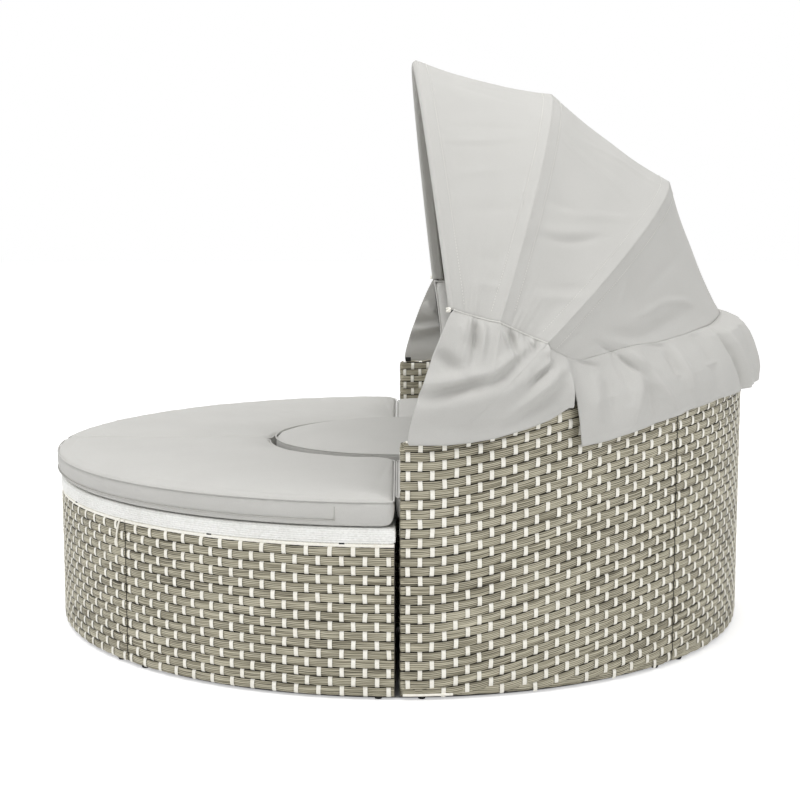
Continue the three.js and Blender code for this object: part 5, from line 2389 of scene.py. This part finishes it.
    def side_skirt(self) -> None:
        """Makes the two side skirts, each cut where the bows divide it."""
        hem = self.evened(self.side_hem(), 260)
        corner = math.asin(self.skirt_front / self.skirt_radius)
        last = math.radians(self.skirt_ends[0])
        low_angle = corner + (last - corner) * np.linspace(0, 1, len(hem))
        low_height = np.interp(
            self.skirt_radius * np.sin(low_angle),
            [0.023, 0.1, 0.149, 0.203, 0.271, 0.321, 0.362],
            [0.562, 0.562, 0.566, 0.574, 0.591, 0.609, 0.632],
        )
        grid = self.hanging(hem, low_angle, low_height, SIDE_FOLDS, edge=0.044, slit_edge=0.010)
        self.cut_side(self.sheet_mesh("side_skirt", grid))

    def hem_cords(self) -> None:
        """Rolls the hems under the front and the middle gore, in the light thread, which is partly a
        painted highlight along the hem's ridge.
        """
        t = np.linspace(0, 1, 40)
        for pull in (Pull.FRONT, Pull.MIDDLE):
            kind = f"hem_{pull.name.lower()}"
            run = self.stretch(pull, t, pull.hem_at(t), 0.0012)
            right = self.shop.round_tube(kind + "_right", run, self.hem_roll, 8,
                                         self.shop.palette.thread)
            for piece in (right, self.shop.mirrored(kind + "_left", right)):
                pull.blend(piece)

    def rear_skirt(self) -> None:
        """Makes the rear skirt."""
        hem = self.evened(self.rear_hem(), 500)
        first = math.radians(self.skirt_ends[1])
        low_angle = first + (math.pi - 2 * first) * np.linspace(0, 1, len(hem))
        low_height = np.interp(
            np.degrees(np.minimum(low_angle, math.pi - low_angle)),
            [23, 24.9, 30, 33.1, 39.6, 46.2, 54.2, 60.7, 66, 77.7, 90],
            [0.545, 0.546, 0.556, 0.567, 0.585, 0.603, 0.614, 0.618, 0.624, 0.626, 0.626],
        )
        rear = self.sheet_mesh("rear_skirt", self.hanging(hem, low_angle, low_height, REAR_FOLDS))
        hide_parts("canopy_skirt_rear")
        self.declare(rear)
        Pull.REAR.blend(rear)

    def cut_side(self, whole: Thing) -> None:
        """Cuts the right side skirt along the planes of the second and third bow.

        Args:
            whole: The skirt in one piece.
        """
        second, third = (Vector(bow.ahead) for bow in (SECOND, THIRD))
        wanted = {
            (Pull.FRONT, "front"): [second],
            (Pull.MIDDLE, "middle"): [-second, third],
            (Pull.REAR, "back"): [-second, -third],
        }
        for (pull, kind), cuts in wanted.items():
            name = f"side_skirt_{kind}"
            work = bmesh.new()
            work.from_mesh(whole.data)
            for normal in cuts:
                bmesh.ops.bisect_plane(
                    work, geom=[*work.verts, *work.edges, *work.faces], plane_co=Vector(HINGE),
                    plane_no=normal, clear_inner=True,
                )
                rim = [edge for edge in work.edges if edge.is_boundary]
                bmesh.ops.holes_fill(work, edges=rim, sides=0)
            mesh = bpy.data.meshes.new(name)
            work.to_mesh(mesh)
            work.free()
            surfaced(mesh, self.shop.palette.canopy)
            right = placed(name + "_right", mesh)
            left = self.shop.mirrored(name + "_left", right)
            for side, piece in (("right", right), ("left", left)):
                if pull is Pull.MIDDLE:
                    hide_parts(f"canopy_skirt_{side}")
                self.declare(piece)
                pull.blend(piece)
        bpy.data.objects.remove(whole)

    def bows(self) -> None:
        """Sweeps the bows' tubes with their flat hinge bars, and the cloth sleeves round them."""
        palette = self.shop.palette
        for bow in (FRONT, SECOND, THIRD, REAR):
            start = bow.angle_at(self.tube_low)
            line = bow.arch(np.linspace(start, math.pi - start, 140))
            tube = self.shop.round_tube(bow.name + "_tube", line, self.tube, 20, palette.tube)
            parts = [tube, self.bar(bow, 1), self.bar(bow, -1)]
            piece = self.shop.join(bow.name.replace("canopy", "dark"), parts)
            settle(piece, bow.body, Slot.TUBE, bow.name)
            hem = math.radians(bow.hem + 0.8)
            line = bow.arch(np.linspace(hem, math.pi - hem, 120))
            cover = self.shop.round_tube(bow.name.replace("canopy_bow", "sleeve"), line,
                                         self.sleeve, 14, palette.canopy)
            settle(cover, bow.body, Slot.CANOPY)

    def bar(self, bow: Bow, side: int) -> Thing:
        """Makes the flat bar between a hinge bolt and the tube's end.

        Args:
            bow: The bow.
            side: 1 for the right end, -1 for the left.

        Returns:
            The bar.
        """
        tip = bow.arch(np.array([bow.angle_at(self.bar_high)]))[0]
        foot = np.array([bow.half_width, BED.pivot_y, BED.pivot_z])
        eye, width = self.bar_eye, self.bar_width / 2
        stations = [
            (foot + bow.up * eye * math.sin(turn), max(0.0012, eye * math.cos(turn)))
            for turn in np.linspace(-QUARTER, 0, 7)
        ]
        stations += [(foot + bow.up * 0.012, 0.0095), (foot + bow.up * 0.024, width), (tip, width)]
        outline = ((-0.86, -1), (0.86, -1), (1, -0.6), (1, 0.6), (0.86, 1), (-0.86, 1), (-1, 0.6),
                   (-1, -0.6))
        vertices, faces = loft_rings([
            np.array([
                centre + bow.ahead * reach * a + np.array([self.bar_thick / 2 * b, 0, 0])
                for a, b in outline
            ])
            for centre, reach in stations
        ])
        return self.shop.solid(bow.name + "_bar", vertices * np.array([side, 1, 1]), faces,
                               self.shop.palette.tube)

    def ties(self) -> None:
        """Ties a small knot of cord at each end of the front hem."""
        knot = self.side_hem()[0] + np.array([0.004, -0.012, 0.0])
        t = np.linspace(0, 4 * math.pi, 60)
        line = knot + np.stack([0.0035 * np.cos(t), 0.004 * np.sin(2 * t), 0.004 * np.sin(t)], 1)
        right = self.shop.round_tube("hem_tie_right", line, self.tie, 8,
                                     self.shop.palette.strand)
        for piece in (right, self.shop.mirrored("hem_tie_left", right)):
            settle(piece, Body.FRONT, Slot.CANOPY)

    def build(self) -> None:
        """Makes the whole canopy."""
        for pull in Pull:
            self.gore(pull)
        self.side_skirt()
        self.hem_cords()
        self.rear_skirt()
        self.bows()
        self.ties()
        for side in ("right", "left"):
            dress(f"hinge_bracket_{side}", self.shop.palette.tube)
            dress(f"hinge_bolt_{side}", self.shop.palette.steel)


@dataclass
class ArmStops:
    """Small black blocks on the front ends of the arms."""

    shop: Workshop

    def build(self) -> None:
        """Makes both blocks with rounded edges."""
        for side in ("right", "left"):
            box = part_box(f"arm_stop_{side}")
            piece = board(self.shop, f"stop_block_{side}", *box, self.shop.palette.rubber, 0.002)
            settle(piece, Body.SOFA, Slot.GLIDE, f"arm_stop_{side}")


# Studio


@dataclass
class Studio:
    """Floor, lamps, world and camera."""

    lens: float = 67.5
    eye: tuple[float, float, float] = (4.043, 0.0, 1.0445)
    down: float = 7.05
    plain: float = 0.62
    floor_size: float = 30.0
    floor_glow: float = 0.46

    def floor(self) -> None:
        """Lays a pale floor that shows white to the camera and keeps the shadow."""
        mesh = bpy.data.meshes.new("floor")
        size = self.floor_size
        corners = [(-size, -size, 0), (size, -size, 0), (size, size, 0), (-size, size, 0)]
        mesh.from_pydata(corners, [], [(0, 1, 2, 3)])
        paint = Paint("floor_white", 0.9)
        paint.set("Base Color", (0.86, 0.86, 0.86, 1))
        path = paint.add("ShaderNodeLightPath").outputs
        seen = paint.math("MAXIMUM", path["Is Camera Ray"], path["Is Glossy Ray"])
        seen = paint.math("MAXIMUM", seen, path["Is Transmission Ray"])
        reach = paint.add("ShaderNodeVectorMath", {0: paint.place}, operation="LENGTH")
        outside = paint.math("GREATER_THAN", reach.outputs["Value"], BED.radius - 0.02)
        paint.set("Emission Color", (1, 1, 1, 1))
        paint.set("Emission Strength", paint.times(seen, outside, self.floor_glow))
        mesh.materials.append(paint.material)
        placed("floor", mesh)

    def world(self) -> None:
        """Gives an even sky, which shows white to the camera."""
        world = bpy.data.worlds.new("studio")
        bpy.context.scene.world = world
        world.use_nodes = True
        nodes = Nodes(world.node_tree)
        ground = world.node_tree.nodes["Background"]
        path = nodes.add("ShaderNodeLightPath").outputs
        high = nodes.math("MAXIMUM", path["Is Camera Ray"], path["Is Transmission Ray"])
        inputs = {"Value": high, "To Min": self.plain, "To Max": 1.0}
        nodes.fill(ground.inputs["Strength"], nodes.out("ShaderNodeMapRange", inputs))
        nodes.fill(ground.inputs["Color"], (1, 1, 1, 1))

    @staticmethod
    def lamp(name: str, place: Sequence[float], aim: Sequence[float], size: float,
             power: float) -> None:
        """Hangs one soft lamp.

        Args:
            name: Name of the lamp.
            place: Where it hangs.
            aim: Where it points.
            size: Width of its disc.
            power: Its power in watts.
        """
        data = bpy.data.lights.new(name, "AREA")
        data.shape = "DISK"
        data.size = size
        data.energy = power
        lamp = placed(name, data)
        lamp.location = place
        lamp.rotation_euler = (Vector(aim) - Vector(place)).to_track_quat("-Z", "Y").to_euler()

    def camera(self) -> None:
        """Sets the photograph's view."""
        data = bpy.data.cameras.new("view")
        data.lens = self.lens
        data.sensor_width = 36.0
        data.clip_end = 100.0
        camera = placed("view", data)
        camera.location = self.eye
        camera.rotation_euler = (math.radians(90 - self.down), 0, QUARTER)
        bpy.context.scene.camera = camera

    def build(self) -> None:
        """Sets the studio up."""
        bpy.context.scene.view_settings.view_transform = "Standard"
        self.camera()
        self.floor()
        self.world()
        self.lamp("key", (4.2, -5.0, 6.6), (0, 0.0, 0.4), 4.0, 164)
        self.lamp("fill", (3.4, 3.4, 2.6), (0, 0.3, 0.6), 2.6, 38)
        self.lamp("back", (-2.6, 1.2, 3.2), (0, 0.2, 0.7), 2.6, 24)
        self.lamp("top", (0.8, -0.8, 8.6), (0, -0.4, 0.3), 4.6, 285)


def main() -> None:
    """Builds the studio and every sub-assembly in order."""
    logging.basicConfig(level=logging.INFO, format="%(message)s")
    Studio().build()
    shop = Workshop()
    Wall(shop).build()
    OttomanSide(shop).build()
    InnerPanels(shop).build()
    Rims(shop).build()
    Stool(shop).build()
    Glides(shop).build()
    RingCushion(shop, "ottoman", Body.OTTOMAN, 0.911, 0.0107, -1).build()
    RingCushion(shop, "sofa", Body.SOFA, 0.862, -0.0103, 1).build()
    StoolPad(shop).build()
    Pillows(shop).build()
    Canopy(shop).build()
    ArmStops(shop).build()


if __name__ == "__main__":
    main()
